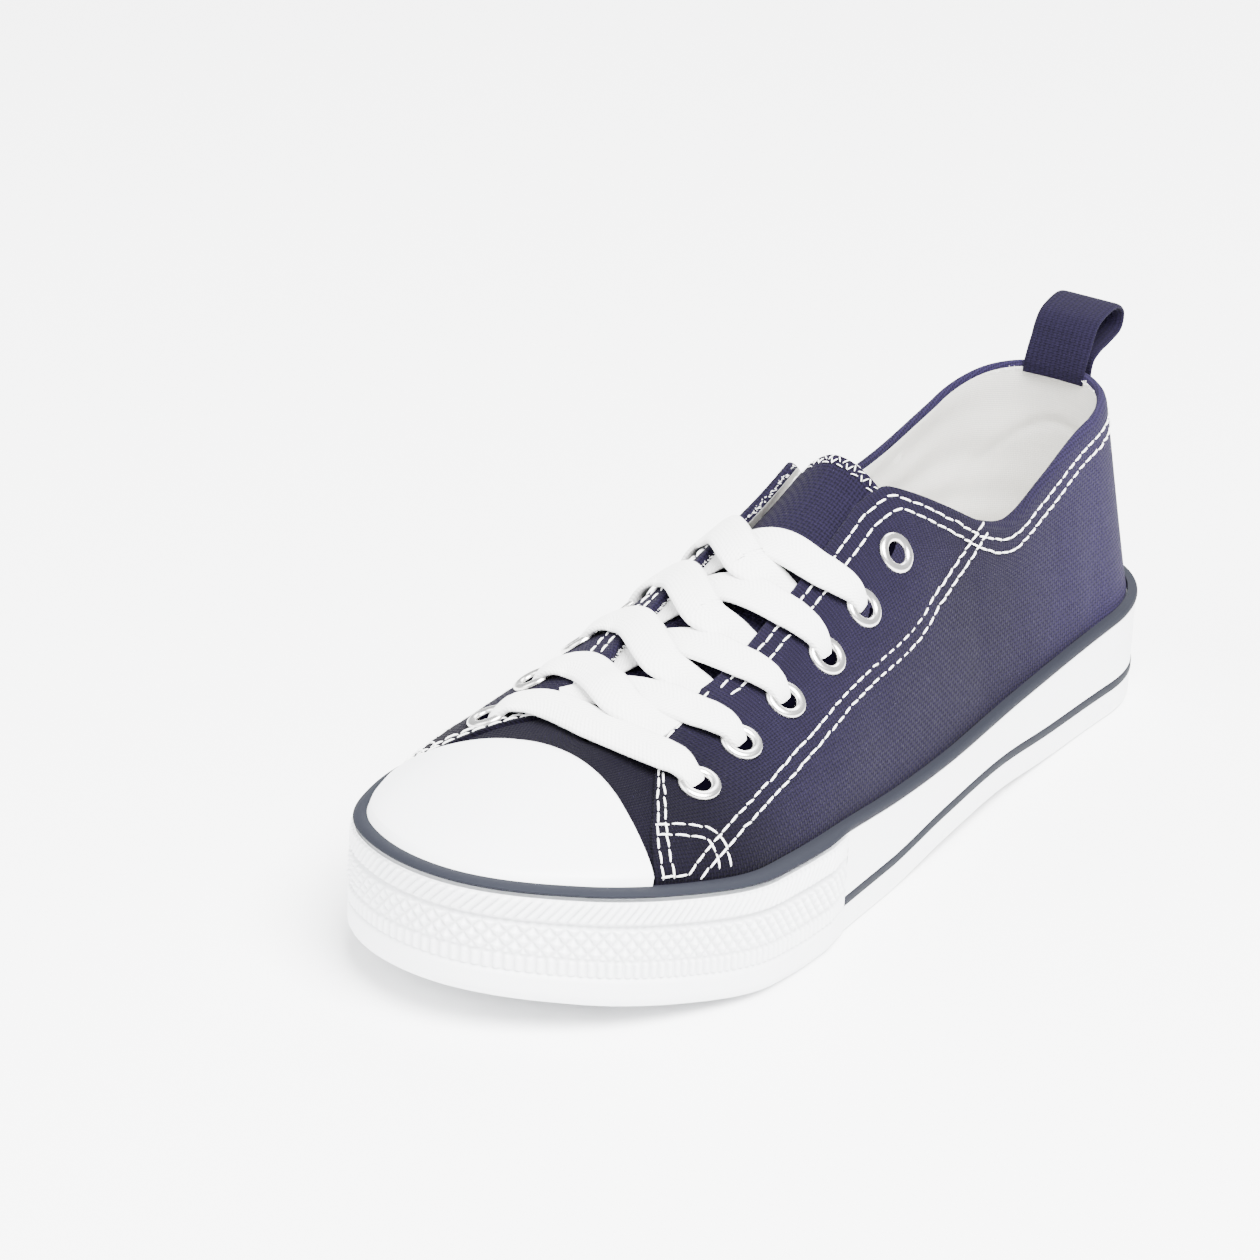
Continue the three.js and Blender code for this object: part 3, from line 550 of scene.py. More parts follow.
def cloth_paint(name, colour, pitch, depth, contrast, sheen=0.015, drift=0.08, ratio=1.0, slub=0.55,
                painted_light_shade=0.0):
    """Woven cloth: threads of the weave in height and shade, slubs along the threads, faint
    fading in patches and specks of lint; painted light makes it paler to the heel and painted shade
    makes it darker to the toe."""
    paint = Paint(name, 0.9, Sheen_Weight=sheen, Sheen_Roughness=0.5, Specular_IOR_Level=0.06)
    u, v, _ = paint.parts(paint.cloth())
    threads = paint.weave(u, v, pitch, ratio)
    here = paint.place()
    patches = paint.noise(here, 18.0, 4.0, 0.6)
    slubs = (paint.slubs(u * SLUB_LENGTH, v / pitch) + paint.slubs(u / pitch, v * SLUB_LENGTH)) * 0.5
    tone = threads * contrast + (1.0 - contrast) + (slubs - 0.5) * slub + (patches - 0.5) * drift * 4
    x = paint.parts(here)[0]
    heel_light_falloff, toe_painted_shade = [x.between(*run) * loss for run, loss in PAINTED_LIGHT_FALLOFF]
    # painted light at the heel and painted shade toward the toe, by x in the frame
    base = paint.tint(colour, tone * (1.0 + painted_light_shade * HEEL_PAINTED_LIGHT - (heel_light_falloff + toe_painted_shade) * painted_light_shade))
    lint = paint.noise(here, 1400.0, 2.0).between(0.70, 0.76) * 0.3
    paint.feed("Base Color", paint.mix(lint, base, shaded(colour, 3.0)))
    fibre = paint.noise(here, 2600.0, 2.0)
    height = threads + (slubs - 0.5) * 0.5 + fibre * 0.18
    paint.feed("Normal", paint.bump(height, depth, 0.8))
    return paint.material


def rubber_paint(name, colour, roughness, mottle=0.03, grime=0.0, depth=0.00004, gloss=0.5,
                 recess_shade=0.0):
    """Moulded rubber: faint cloudy tone, fine surface grain, tiny nicks and a little grime
    toward the ground; painted shade greys the low places of a relief kept in the map."""
    paint = Paint(name, roughness, Specular_IOR_Level=gloss, Coat_Roughness=0.35)
    here = paint.place()
    clouds = paint.noise(here, 28.0, 5.0, 0.6)
    tone = 1.0 + (clouds - 0.5) * mottle * 2
    if recess_shade:
        # painted shade in the low places of the relief, read from the map's second value
        tone = tone - (1.0 - paint.parts(paint.cloth())[1].between(0.0, 0.9)) * recess_shade
    marks = paint.noise(here, 160.0, 6.0, 0.7).between(0.58, 0.74)
    low = 1.0 - paint.parts(here)[2].between(0.001, 0.012)
    dirt = (marks * 0.5 + clouds * 0.25) * low * grime + marks * grime * 0.05
    paint.feed("Base Color", paint.mix(dirt, paint.tint(colour, tone), linear((0.45, 0.43, 0.41))))
    paint.feed("Roughness", (clouds - 0.5) * 0.16 + roughness + marks * 0.05)
    grain = paint.noise(here, 1800.0, 3.0)
    nicks = paint.noise(here, 420.0, 2.0).between(0.72, 0.8)
    paint.feed("Normal", paint.bump(grain - nicks * 0.7, depth, 0.5))
    return paint.material


WALE_PITCH, CROSS_PITCH = 1.05, 0.75
# Across the lace (mm): where painted shade along its edges begins and where it is full
LACE_EDGE_SHADE = (3.1, LACE_MAP / 2)


def lace_paint(name, colour):
    """Flat woven lace: two rows of slanted wales that meet in the middle, and painted shade along its
    edges.
    """
    paint = Paint(name, 0.85, Sheen_Weight=0.3, Specular_IOR_Level=0.25)
    u, v, _ = paint.parts(paint.cloth())
    slant = abs(v) * 0.9
    wales = abs(((u + slant) * (math.pi / WALE_PITCH)).sine())
    cross = abs((v * (math.pi / CROSS_PITCH)).sine())
    height = wales * 0.7 + cross * 0.45
    here = paint.place()
    fuzz = paint.noise(here, 2400.0, 2.0)
    tone = 0.86 + height * 0.12 + (paint.noise(here, 60.0, 3.0) - 0.5) * 0.06
    # painted shade darkens the lace toward its edges
    paint.feed("Base Color", paint.tint(colour, tone - abs(v).between(*LACE_EDGE_SHADE) * 0.16))
    paint.feed("Normal", paint.bump(height + fuzz * 0.3, 0.00016, 0.8))
    return paint.material


def thread_paint(name, colour):
    """Sewing thread: plies that wind round it, in object space, and a soft dull surface."""
    paint = Paint(name, 0.75, Sheen_Weight=0.2)
    ply = paint.noise(paint.place(), 2200.0, 2.0)
    paint.feed("Base Color", paint.tint(colour, 0.88 + ply * 0.2))
    paint.feed("Normal", paint.bump(ply, 0.00008, 0.6))
    return paint.material


def nickel_paint(name, colour):
    """Plated metal with fine turning lines and dulled patches."""
    paint = Paint(name, 0.24, Metallic=1.0)
    here = paint.place()
    dull = paint.noise(here, 300.0, 4.0)
    paint.feed("Base Color", paint.tint(colour, 0.94 + dull * 0.1))
    paint.feed("Roughness", 0.18 + dull * 0.14)
    paint.feed("Normal", paint.bump(paint.noise(here, 900.0, 2.0), 0.00003, 0.3))
    return paint.material


# ---- What a user would change ----
class SneakerSizes(bpy.types.PropertyGroup):
    """Sizes of the small features."""

    stitch_length: bpy.props.FloatProperty(
        name="Stitch Length", description="Length of one stitch, with its gap",
        default=0.0035, unit="LENGTH")
    stitch_thick: bpy.props.FloatProperty(
        name="Thread", description="Thickness of the sewing thread", default=0.0005, unit="LENGTH")
    row_gap: bpy.props.FloatProperty(
        name="Row Gap", description="Space between the two rows of a double seam",
        default=0.0029, unit="LENGTH")
    weave_pitch: bpy.props.FloatProperty(
        name="Weave", description="Space from thread to thread of the canvas",
        default=0.00095, unit="LENGTH")
    lace_width: bpy.props.FloatProperty(
        name="Lace Width", description="Width of the flat lace", default=0.0096, unit="LENGTH")
    lace_thick: bpy.props.FloatProperty(
        name="Lace Thickness", description="Thickness of the flat lace", default=0.0014,
        unit="LENGTH")
    rib_pitch: bpy.props.FloatProperty(
        name="Rib Pitch", description="Space between the ribs of the toe bumper",
        default=0.0021, unit="LENGTH")


class SneakerColours(bpy.types.PropertyGroup):
    """Colours of the materials."""

    canvas: bpy.props.FloatVectorProperty(
        name="Canvas", description="Dyed canvas of the upper and tongue", subtype="COLOR",
        default=(0.0072, 0.0054, 0.0160), min=0, max=1)
    rubber: bpy.props.FloatVectorProperty(
        name="Rubber", description="White rubber of the sole and toe", subtype="COLOR",
        default=(0.88, 0.89, 0.91), min=0, max=1)
    stripe: bpy.props.FloatVectorProperty(
        name="Stripe", description="Dark rubber of the two stripes", subtype="COLOR",
        default=(0.012, 0.013, 0.018), min=0, max=1)
    lining: bpy.props.FloatVectorProperty(
        name="Lining", description="Undyed lining and insole cover", subtype="COLOR",
        default=(0.80, 0.785, 0.745), min=0, max=1)
    lace: bpy.props.FloatVectorProperty(
        name="Lace", description="White lace and sewing thread", subtype="COLOR",
        default=(0.90, 0.90, 0.89), min=0, max=1)
    nickel: bpy.props.FloatVectorProperty(
        name="Nickel", description="Plated metal of the eyelets", subtype="COLOR",
        default=(0.76, 0.75, 0.73), min=0, max=1)


class SneakerStage(bpy.types.PropertyGroup):
    """Floor, lights and camera."""

    floor: bpy.props.FloatVectorProperty(
        name="Floor", description="Colour of the floor", subtype="COLOR",
        default=(0.97, 0.97, 0.97), min=0, max=1)
    key_watts: bpy.props.FloatProperty(
        name="Main Light", description="Power of the large light", default=290.0, unit="POWER")
    fill_watts: bpy.props.FloatProperty(
        name="Fill Light", description="Power of the side light", default=62.0, unit="POWER")
    world_strength: bpy.props.FloatProperty(
        name="Surroundings", description="Brightness of the surroundings", default=1.15)


MADE = {}


def size(key):
    """A size of the panel in mm."""
    return getattr(bpy.context.scene.sneaker_sizes, key) * MM


# Kind of paint, its name, its colour and how bright that is, and the paint's own values
PAINTS = {
    # The canvas's last value sets its painted light at the heel and painted shade toward the toe
    "canvas": (cloth_paint, "canvas_weave", "canvas", 1,
               {"pitch": 1.0, "depth": 0.00028, "contrast": 0.88, "painted_light_shade": 0.38}),
    "lining": (cloth_paint, "lining_twill", "lining", 1,
               {"pitch": 0.6, "depth": 0.0002, "contrast": 0.3, "sheen": 0.1, "drift": 0.05,
                "slub": 0.16}),
    "webbing": (cloth_paint, "webbing_ribs", "canvas", 1,
                {"pitch": 1.3, "depth": 0.00022, "contrast": 0.6, "ratio": 0.45}),
    "rubber": (rubber_paint, "white_rubber", "rubber", 1,
               {"roughness": 0.42, "mottle": 0.02, "grime": 0.25}),
    # The bumper's last value is painted shade in the low places of its relief
    "bumper": (rubber_paint, "bumper_rubber", "rubber", 1,
               {"roughness": 0.45, "mottle": 0.02, "grime": 0.25, "recess_shade": 0.14}),
    "cap": (rubber_paint, "cap_rubber", "rubber", 1,
            {"roughness": 0.36, "mottle": 0.015, "grime": 0.06}),
    "tread": (rubber_paint, "tread_rubber", "rubber", 0.86,
              {"roughness": 0.62, "mottle": 0.05, "grime": 0.5, "depth": 0.0001}),
    "stripe": (rubber_paint, "stripe_rubber", "stripe", 1,
               {"roughness": 0.7, "mottle": 0.06, "grime": 0.02, "gloss": 0.08}),
    # painted shadow: a near-black copy of the canvas for the discs in the eyelet bores
    "shade": (rubber_paint, "hole_shade", "canvas", 0.1, {"roughness": 0.9, "gloss": 0.0}),
    "lace": (lace_paint, "lace_cotton", "lace", 1, {}),
    "thread": (thread_paint, "sewing_thread", "lace", 1, {}),
    "nickel": (nickel_paint, "nickel_plate", "nickel", 1, {}),
}


def material(key):
    """Each material is made once, from the colours as they are then; a cloth's pitch is given
    as a share of the canvas's."""
    if key not in MADE:
        paint, name, colour, bright, values = PAINTS[key]
        if "pitch" in values:
            values = {**values, "pitch": values["pitch"] * size("weave_pitch")}
        tone = shaded(getattr(bpy.context.scene.sneaker_colours, colour), bright)
        MADE[key] = paint(name, tone, **values)
    return MADE[key]


# ---- Pieces ----
QUARTER_RINGS, VAMP_RINGS, WALL_ROWS = 150, 54, 46
HEM_ROWS = 2  # rows of points below the wall, on each face
EDGE_ROLL = 0.016  # share by which the rolled top edge swells
# Seam of the lining beside the heel counter: where it starts, its slant, width and depth (mm)
SEAM_FROM, SEAM_SLANT, SEAM_WIDTH, SEAM_DEPTH = heel_turn(92), 16, 1.4, 0.7
# Lining folds: level of the groove at the heel and its dip per mm squared, width and depth;
# height and softness of the pad over it; how far groove and pad reach; the waves' height, the
# place they are centred on and how far they reach
GROOVE_LEVEL, GROOVE_DIP, GROOVE_WIDTH, GROOVE_DEPTH, GROOVE_REACH = 0.80, 0.00022, 0.016, 1.3, 24
PAD_HEIGHT, PAD_SOFT, PAD_REACH = 0.9, 0.02, 30
WAVE_HEIGHT, WAVE_CENTRE, WAVE_REACH = 0.6, 60, 45

# Soft troughs and ridges, listed: from (x, y) to (x, y), how wide, how high (mm)
CREASES = [
    ((100, 30), (150, 40), 7.0, -0.5),
    ((120, 27), (168, 37), 6.0, 0.45),
    ((60, 27), (96, 31), 8.0, -0.5),
    ((48, 29), (70, 31), 6.0, 0.4),
    ((150, 36), (190, 40), 6.0, -0.4),
    ((20, 22), (34, 30), 7.0, -0.5),
    ((60, -27), (100, -29), 8.0, -0.5),
    ((110, -28), (160, -34), 7.0, 0.45),
    ((140, -31), (186, -38), 6.0, -0.45),
    ((204, 22), (222, 6), 4.0, -0.35),
    ((204, -22), (222, -6), 4.0, -0.35),
    ((212, 12), (214, -14), 3.5, 0.3),
]


def crease_height(points):
    """Sum of soft ridges: each is its height times a bell of the distance to its segment,
    fading along a bell of its own length."""
    total = np.zeros(points.shape[:-1])
    flat = points[..., :2]
    for start, end, width, height in CREASES:
        a, b = np.array(start, float), np.array(end, float)
        way = b - a
        t = np.clip(((flat - a) @ way) / (way @ way), 0, 1)
        away = np.linalg.norm(flat - a - t[..., None] * way, axis=-1)
        total += height * np.exp(-(away / width) ** 2)
    return total


def wall_share(v, station):
    """From the foot (v 0) to the top edge (v 1), closest together at the foot."""
    return 1 - (1 - edge_share(station)) * (1 - np.cos(v * math.pi / 2))


def lining_folds(stations, v):
    """Depth of the lining's folds: a groove over the heel counter, which dips away from the heel's
    middle line, and long soft waves beside the collar, two sines of the height with the station
    as phase."""
    bend = GROOVE_LEVEL - GROOVE_DIP * stations ** 2
    groove = -GROOVE_DEPTH * np.exp(-((v - bend) / GROOVE_WIDTH) ** 2 - (stations / GROOVE_REACH) ** 2)
    pad = PAD_HEIGHT / (1 + np.exp((bend - v) / PAD_SOFT)) * np.exp(-(stations / PAD_REACH) ** 2)
    waves = WAVE_HEIGHT * np.sin(21 * v + stations / 11) * np.sin(9 * v - stations / 17)
    return groove + pad + waves * np.exp(-((np.abs(stations) - WAVE_CENTRE) / WAVE_REACH) ** 2)


def wall_grid(stations, v, proud):
    """One part of the upper: rings of points that run up the outside, round the top edge and
    down the inside; creases, seam and folds die out to foot and edge by a power of sin(pi v)."""
    high, low = (QUARTER_STEP if proud else 0.0), -CANVAS
    share = wall_share(v, stations)
    out = normal(stations, share)
    fade = np.sin(np.clip(v, 0, 1) * math.pi)
    outer = off_skin(stations, share, high)
    outer = outer + out * (crease_height(outer) * fade ** 0.7)[..., None]
    seam = SEAM_DEPTH * np.exp(
        -((np.abs(stations) - SEAM_FROM - SEAM_SLANT * v) / SEAM_WIDTH) ** 2) * (v > 0.05) * (v < 0.93)
    folds = lining_folds(stations, v) * fade ** 0.6
    inner = off_skin(stations, share, low) - out * (seam + folds)[..., None]
    turn = np.linspace(0, math.pi, 7)[1:-1]
    edge = edge_share(stations[:, -1])[:, None]
    roll = off_skin(stations[:, -1:] + 0 * turn, edge + 0 * turn - EDGE_ROLL * np.sin(turn),
                    (high + low) / 2 + (high - low) / 2 * np.cos(turn))
    feather, hem = raised(top, -1), raised(bed, GAP)
    before = outline_rings(stations[:, 0], [(UPPER_INSET - QUARTER_STEP, hem),
                                            (UPPER_INSET - high, feather)])
    after = outline_rings(stations[:, 0], [(UPPER_INSET + CANVAS, feather),
                                           (UPPER_INSET + CANVAS, hem)])
    return np.concatenate([before, outer, roll, inner[:, ::-1], after], axis=1)


def upper_side(side):
    v = np.linspace(0, 1, WALL_ROWS + 1)[1:]
    edge = front(v, side)[None]
    quarter = side * np.maximum(1e-6, edge * np.linspace(0, 1, QUARTER_RINGS + 1)[:, None])
    begin = edge + 0.35
    vamp = side * (begin + (TOE_TIP - begin) * np.linspace(0, 1, VAMP_RINGS + 1)[:, None])
    grids = [wall_grid(quarter, v, True), wall_grid(vamp, v, False)]
    return np.concatenate(grids), np.concatenate([quarter, vamp])


def build_upper():
    """The whole upper is one closed skin: rings of the outer side, then those of the inner
    side back to the heel, joined to the first."""
    outer, outer_at = upper_side(1)
    inner, inner_at = upper_side(-1)
    rings = np.concatenate([outer[:-1], inner[:0:-1]])
    stations = np.concatenate([outer_at[:-1], inner_at[:0:-1]])
    rows, columns = rings.shape[:2]
    face = WALL_ROWS + HEM_ROWS
    edge_rows = columns - 2 * face
    lengths = np.concatenate([np.zeros((rows, 1)), np.cumsum(
        np.linalg.norm(np.diff(rings, axis=1), axis=2), axis=1)], axis=1)
    wall = np.concatenate([np.repeat(stations[:, :1], HEM_ROWS, 1), stations], axis=1)
    u = np.concatenate([wall, np.repeat(stations[:, -1:], edge_rows, 1), wall[:, ::-1]], axis=1)
    v = np.where(np.arange(columns) < face + edge_rows, lengths, lengths[:, -1:] - lengths)
    column = np.tile(np.arange(columns), rows)
    lined = (column >= face + edge_rows - 1) & (column < columns - 1)
    dress("upper_cloth", rings, ["canvas", "lining"], "canvas", ["upper"], True, stack(u, v),
          lined.astype(int))


CAP_APEX = (0.817 * SOLE_LENGTH, -0.17 * HALF_BALL)
CAP_SWEEP = 0.0125
CAP_OUTER = (0.47 * HALF_BALL, toe_turn(48))
CAP_INNER = (-0.61 * HALF_BALL, toe_turn(59))
CAP_EDGE = 0.35  # how far the rounded rear edge stands back, and its share of the thickness
CAP_SEAT = 0.06  # how far the rim stays over the sole's top edge
CAP_REACH = 0.993  # foot of the cap, as a share of the upper's reach
CAP_THINNING, CAP_THIN_RATE = 0.75, 90


def from_count(count):
    """Station of a count that runs on past the toe tip down the inner side."""
    return np.where(count > TOE_TIP, count - 2 * TOE_TIP, count)


def build_toe_cap():
    """Rows run from the bowed rear edge (v 0) to the sole's top edge (v 1); the outer face is
    carried over a rounded rear edge to the inner face."""
    u = np.linspace(0, 1, 121)[:, None]
    v = np.sin(np.linspace(0, 1, 60) * math.pi / 2)[None]
    y = CAP_OUTER[0] + (CAP_INNER[0] - CAP_OUTER[0]) * u
    x = CAP_APEX[0] + CAP_SWEEP * (y - CAP_APEX[1]) ** 2
    station = from_count(CAP_OUTER[1] + (2 * TOE_TIP - CAP_OUTER[1] - CAP_INNER[1]) * u)
    fx, dx, dy = sweep(station)
    r = base_reach(station) * CAP_REACH
    px, py = x + (fx + dx * r - x) * v, y + (dy * r - y) * v
    thinner = CAP_THINNING * np.exp(-(v * CAP_THIN_RATE) ** 0.8)
    outer = on_skin(px, py, GAP + CAP_THICK - thinner + 0 * u)
    inner = on_skin(px, py, GAP + 0 * v + 0 * u)
    back = on_skin(px[:, :1] - CAP_EDGE, py[:, :1], GAP + CAP_THICK * CAP_EDGE + 0 * u)
    rim = outline_point(station, UPPER_INSET - GAP - CAP_THICK, raised(top, CAP_SEAT))
    rim_in = outline_point(station, UPPER_INSET - GAP, raised(top, CAP_SEAT))
    rings = np.concatenate([rim_in, inner[:, ::-1], back, outer, rim], axis=1)
    dress("toe_cap_rubber", rings, ["cap"], "white_rubber", ["toe_cap"], sharp=60)


def all_round(count):
    return np.linspace(-TOE_TIP, TOE_TIP, count, endpoint=False)


SOLE_STATIONS = 720
FOOT_ROUND = 1.2
GROOVE_INSET = 1.0
low_from = raised(under, LOW_STRIPE_LEVEL)
low_to = raised(low_from, LOW_STRIPE_HEIGHT)
tread_top = raised(under, TREAD_THICK + GAP)


def build_midsole():
    """Cup of the sole: up the outside, over the rim, down the inside to the bed, and one flat
    bed across; a groove in the wall takes the thin stripe."""
    profile = [(FOOT_ROUND * (1 - math.sin(t)), raised(under, FOOT_ROUND * (1 - math.cos(t))))
               for t in np.linspace(0, 1.57, 5)]
    profile += [(0, low_from), (GROOVE_INSET, raised(low_from, 0.02)),
                (GROOVE_INSET, raised(low_to, -0.02)), (0, low_to)]
    profile += [(0, lambda x, h=h: low_to(x) + h * (wall_top(x) - low_to(x))) for h in (0.3, 0.6, 1.0)]
    profile += [(WALL_THICK, wall_top), (WALL_THICK, bed)]
    shares = [0.97, 0.8, 0.6, 0.4, 0.2, 0.0]
    profile += [(WALL_THICK, bed, share) for share in shares]
    profile += [(WALL_THICK, tread_top, share) for share in shares[::-1]]
    profile += [(WALL_THICK, tread_top), (WALL_THICK, under)]
    rings = outline_rings(all_round(SOLE_STATIONS), profile)
    dress("midsole_rubber", rings, ["rubber"], "white_rubber", ["midsole"], True, sharp=40)


def build_outsole():
    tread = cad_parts["outsole"]
    tread.data.materials.clear()
    tread.data.materials.append(material("tread"))


BUMPER_FROM = along(0.655)
BUMPER_HEIGHT = 19.0
BUMPER_STRETCH = 1.12  # length of the bumper's face to the sweep's length
RIB_SLANT, RIB_POWER = 1.1, 1.3
LATTICE = (3.3, 2.72)  # length and height of a pyramid
# Rows of the outer face, as (first level, last level, rows), and the bands of relief, as (first
# level, last level, height): levels are shares of the height
BUMPER_ROWS = [(0.015, 0.27, 12), (0.28, 0.43, 12), (0.44, 0.725, 32), (0.74, 0.76, 3),
               (0.775, 0.985, 18)]
UPRIGHT, PYRAMIDS, SLANTED, CHANNEL = ((0.285, 0.425, 0.9), (0.45, 0.72, 1.35), (0.78, 0.965, 1.0),
                                       (0.735, 0.762, 0.7))
BAND_EDGE = 0.004
# How far the face stands out, as shares of the thickness: everywhere, more on the plain lower
# band, and less at the foot; and how it grows from the strip's two ends
FACE_OUT, PLAIN, FOOT_DRAW, FOOT_REACH = 0.55, (-1, 0.27, 0.35), 0.45, 0.05
END_GROWTH, END_START, LEAST_OUT = 20, 0.12, 0.12


def build_bumper():
    """Wrapped strip: its outer face stands out by a base band plus relief. The relief is ribs
    |sin| on slanted or upright lines and pyramids 1 - max(|a|, |b|) on a lattice."""
    pitch = size("rib_pitch")
    count = np.linspace(BUMPER_FROM, 2 * TOE_TIP - BUMPER_FROM, 940)[:, None]
    run = count * BUMPER_STRETCH
    levels = np.concatenate([np.linspace(*rows) for rows in BUMPER_ROWS])[None]
    station = from_count(count) + 0 * levels
    share = (count - BUMPER_FROM) / (2 * TOE_TIP - 2 * BUMPER_FROM)
    grown = np.clip(END_GROWTH * np.minimum(share, 1 - share) + END_START, 0, 1)
    height = BUMPER_HEIGHT * levels
    upright = np.abs(np.sin(math.pi * run / pitch)) ** RIB_POWER
    slanted = np.abs(np.sin(math.pi * (run + RIB_SLANT * height) / pitch)) ** RIB_POWER
    a, b = [np.abs(np.mod(run / LATTICE[0] + way * height / LATTICE[1], 1.0) - 0.5) * 2
            for way in (1, -1)]
    pyramids = np.maximum(0, 1 - np.maximum(a, b))

    def band(low, high, tall=1.0):
        rise, fall = [1 + np.exp(gap / BAND_EDGE) for gap in (low - levels, levels - high)]
        return tall / (rise * fall)

    relief = (band(*UPRIGHT) * upright + band(*PYRAMIDS) * pyramids + band(*SLANTED) * slanted
              - band(*CHANNEL))
    base = FACE_OUT + band(*PLAIN) - FOOT_DRAW * np.exp(-(levels / FOOT_REACH) ** 2)
    out = np.maximum(LEAST_OUT, (base * BUMPER_THICK + relief) * grown)

    def level(x):
        return under(x) + levels * (wall_top(x) - under(x))

    outer = outline_point(station, -out, level)
    inner = outline_point(station, 0.05, level)[:, ::6]
    rings = np.concatenate([outer, inner[:, ::-1]], axis=1)
    # Map's second value: 1 on high places, lower in the relief's low places, where the bumper paint
    # lays painted shade
    low = band(0.27, 0.98) * (1 - relief)
    shade = np.concatenate([1 - low, np.ones(inner.shape[:2])], axis=1)
    dress("toe_bumper_relief", rings, ["bumper"], "white_rubber", ["toe_bumper"],
          uv=stack(run, shade), sharp=70)


PIPING_TURN = 1.45  # half turn of the piping's round face
PIPING_BACK = 0.55  # how far its top leans back, as a share of how far it stands out
# How far the piping swells over the bumper, as a share of the bumper, and the run it swells over
PIPING_SWELL, SWELL_FROM, SWELL_RUN = 0.75, 4, 18
INLAY = [(0.75, 0.1), (-0.05, 0.1), (-0.22, 0.4)]  # inset and height of its lower half


def build_stripes():
    """Top stripe: a round-faced piping that swells over the toe bumper. Low stripe: a flat
    inlay in the groove of the wall, cut off at the bumper's ends."""
    stations = all_round(SOLE_STATIONS)
    s = np.clip((np.abs(stations) - BUMPER_FROM + SWELL_FROM) / SWELL_RUN, 0, 1)
    out = TOP_STRIPE_BULGE + s * s * (3 - 2 * s) * BUMPER_THICK * PIPING_SWELL
    profile = [(WALL_THICK, raised(top, -TOP_STRIPE_HEIGHT))]
    for turn in np.linspace(-PIPING_TURN, PIPING_TURN, 13):
        back = (1 + math.sin(turn)) / 2
        drop = TOP_STRIPE_HEIGHT * (1 - math.sin(turn) / math.sin(PIPING_TURN)) / 2
        profile.append((PIPING_BACK * back * (out + 0.1) - out * math.cos(turn), raised(top, -drop)))
    profile.append((WALL_THICK, top))
    dress("top_stripe_piping", outline_rings(stations, profile), ["stripe"], "dark_rubber",
          ["stripe_top"], True)
    profile = [(inset, raised(low_from, height)) for inset, height in INLAY]
    profile += [(inset, raised(low_to, -height)) for inset, height in INLAY[::-1]]
    rings = outline_rings(np.linspace(BUMPER_FROM - GAP, GAP - BUMPER_FROM, 560), profile)
    dress("low_stripe_inlay", rings, ["stripe"], "dark_rubber", ["stripe_low"], sharp=45)


TONGUE_REAR, TONGUE_FRONT = 0.435, 0.80
TONGUE_DEPTH = 2.9
TONGUE_BOW = 1.6  # how far the corners of the top edge stand back
TONGUE_COLUMNS = 64
TONGUE_NARROWING, TONGUE_DIP, TONGUE_DIP_WIDTH, TONGUE_WAVE = 0.10, 0.35, 0.35, 0.25


def tongue_half(share):
    return TONGUE_WIDTH / 2 * (0.92 - 0.3 * share)


def tongue_x(share, bow):
    return SOLE_LENGTH * (TONGUE_REAR + (TONGUE_FRONT - TONGUE_REAR) * share) - TONGUE_BOW * bow


def build_tongue():
    """Two layers under the throat, from the top edge (share 0) to the toe end, joined by
    rounded sides; it sinks a little along its middle, between the eyelet rows."""
    share = np.linspace(0, 1, 110)[:, None]
    across = np.linspace(-1, 1, TONGUE_COLUMNS)[None]
    x = tongue_x(share, across ** 2 * (1 - share) ** 6)
    y = tongue_half(share) * across * (1 - TONGUE_NARROWING * np.exp(-share * 22))
    dip = (TONGUE_DIP * np.exp(-(across / TONGUE_DIP_WIDTH) ** 2)
           + TONGUE_WAVE * np.sin(x / 9.0 + across * 2))
    depth = TONGUE_DEPTH + dip * (1 - np.exp(-share * 30))
    upper, lower = on_skin(x, y, -depth), on_skin(x, y, -depth - TONGUE_THICK)
    rings = np.concatenate([upper, lower[:, ::-1]], axis=1)
    uv = stack(np.concatenate([y, y[:, ::-1]], axis=1), np.concatenate([x, x], axis=1))
    column = np.tile(np.arange(rings.shape[1]), rings.shape[0] + 1)
    dress("tongue_cloth", rings, ["canvas", "lining"], "canvas", ["tongue"], uv=uv,
          finish=(column >= TONGUE_COLUMNS).astype(int))


# Foot bed: shares of the outline from rim to middle with the height there (mm), then the
# underside back to the rim
INSOLE_TOP = [(1.0, 0.0), (1.0, 2.2), (0.985, 2.8), (0.95, 3.0), (0.85, 2.95), (0.7, 2.85),
              (0.5, 2.8), (0.3, 2.8), (0.12, 2.8), (0.0, 2.8)]
INSOLE_UNDER = [(0.0, 0.0), (0.5, 0.0), (0.95, 0.0)]


def build_insole():
    """Foot bed: a cushioned sheet that follows the bed and rises a little at its rim."""
    inset = UPPER_INSET + CANVAS + 2 * GAP
    rings = outline_rings(all_round(360), [(inset, raised(bed, GAP + height), share)
                                           for share, height in INSOLE_TOP + INSOLE_UNDER])
    dress("insole_cover", rings, ["lining"], "lining", ["insole"], True, rings[..., :2])


# The loop near the collar: the heel's round is y * y / LOOP_ROUND; from LOOP_FREE above the seat
# it straightens over LOOP_EASE
LOOP_ROUND, LOOP_FREE, LOOP_EASE = 60, 1.0, 6.0


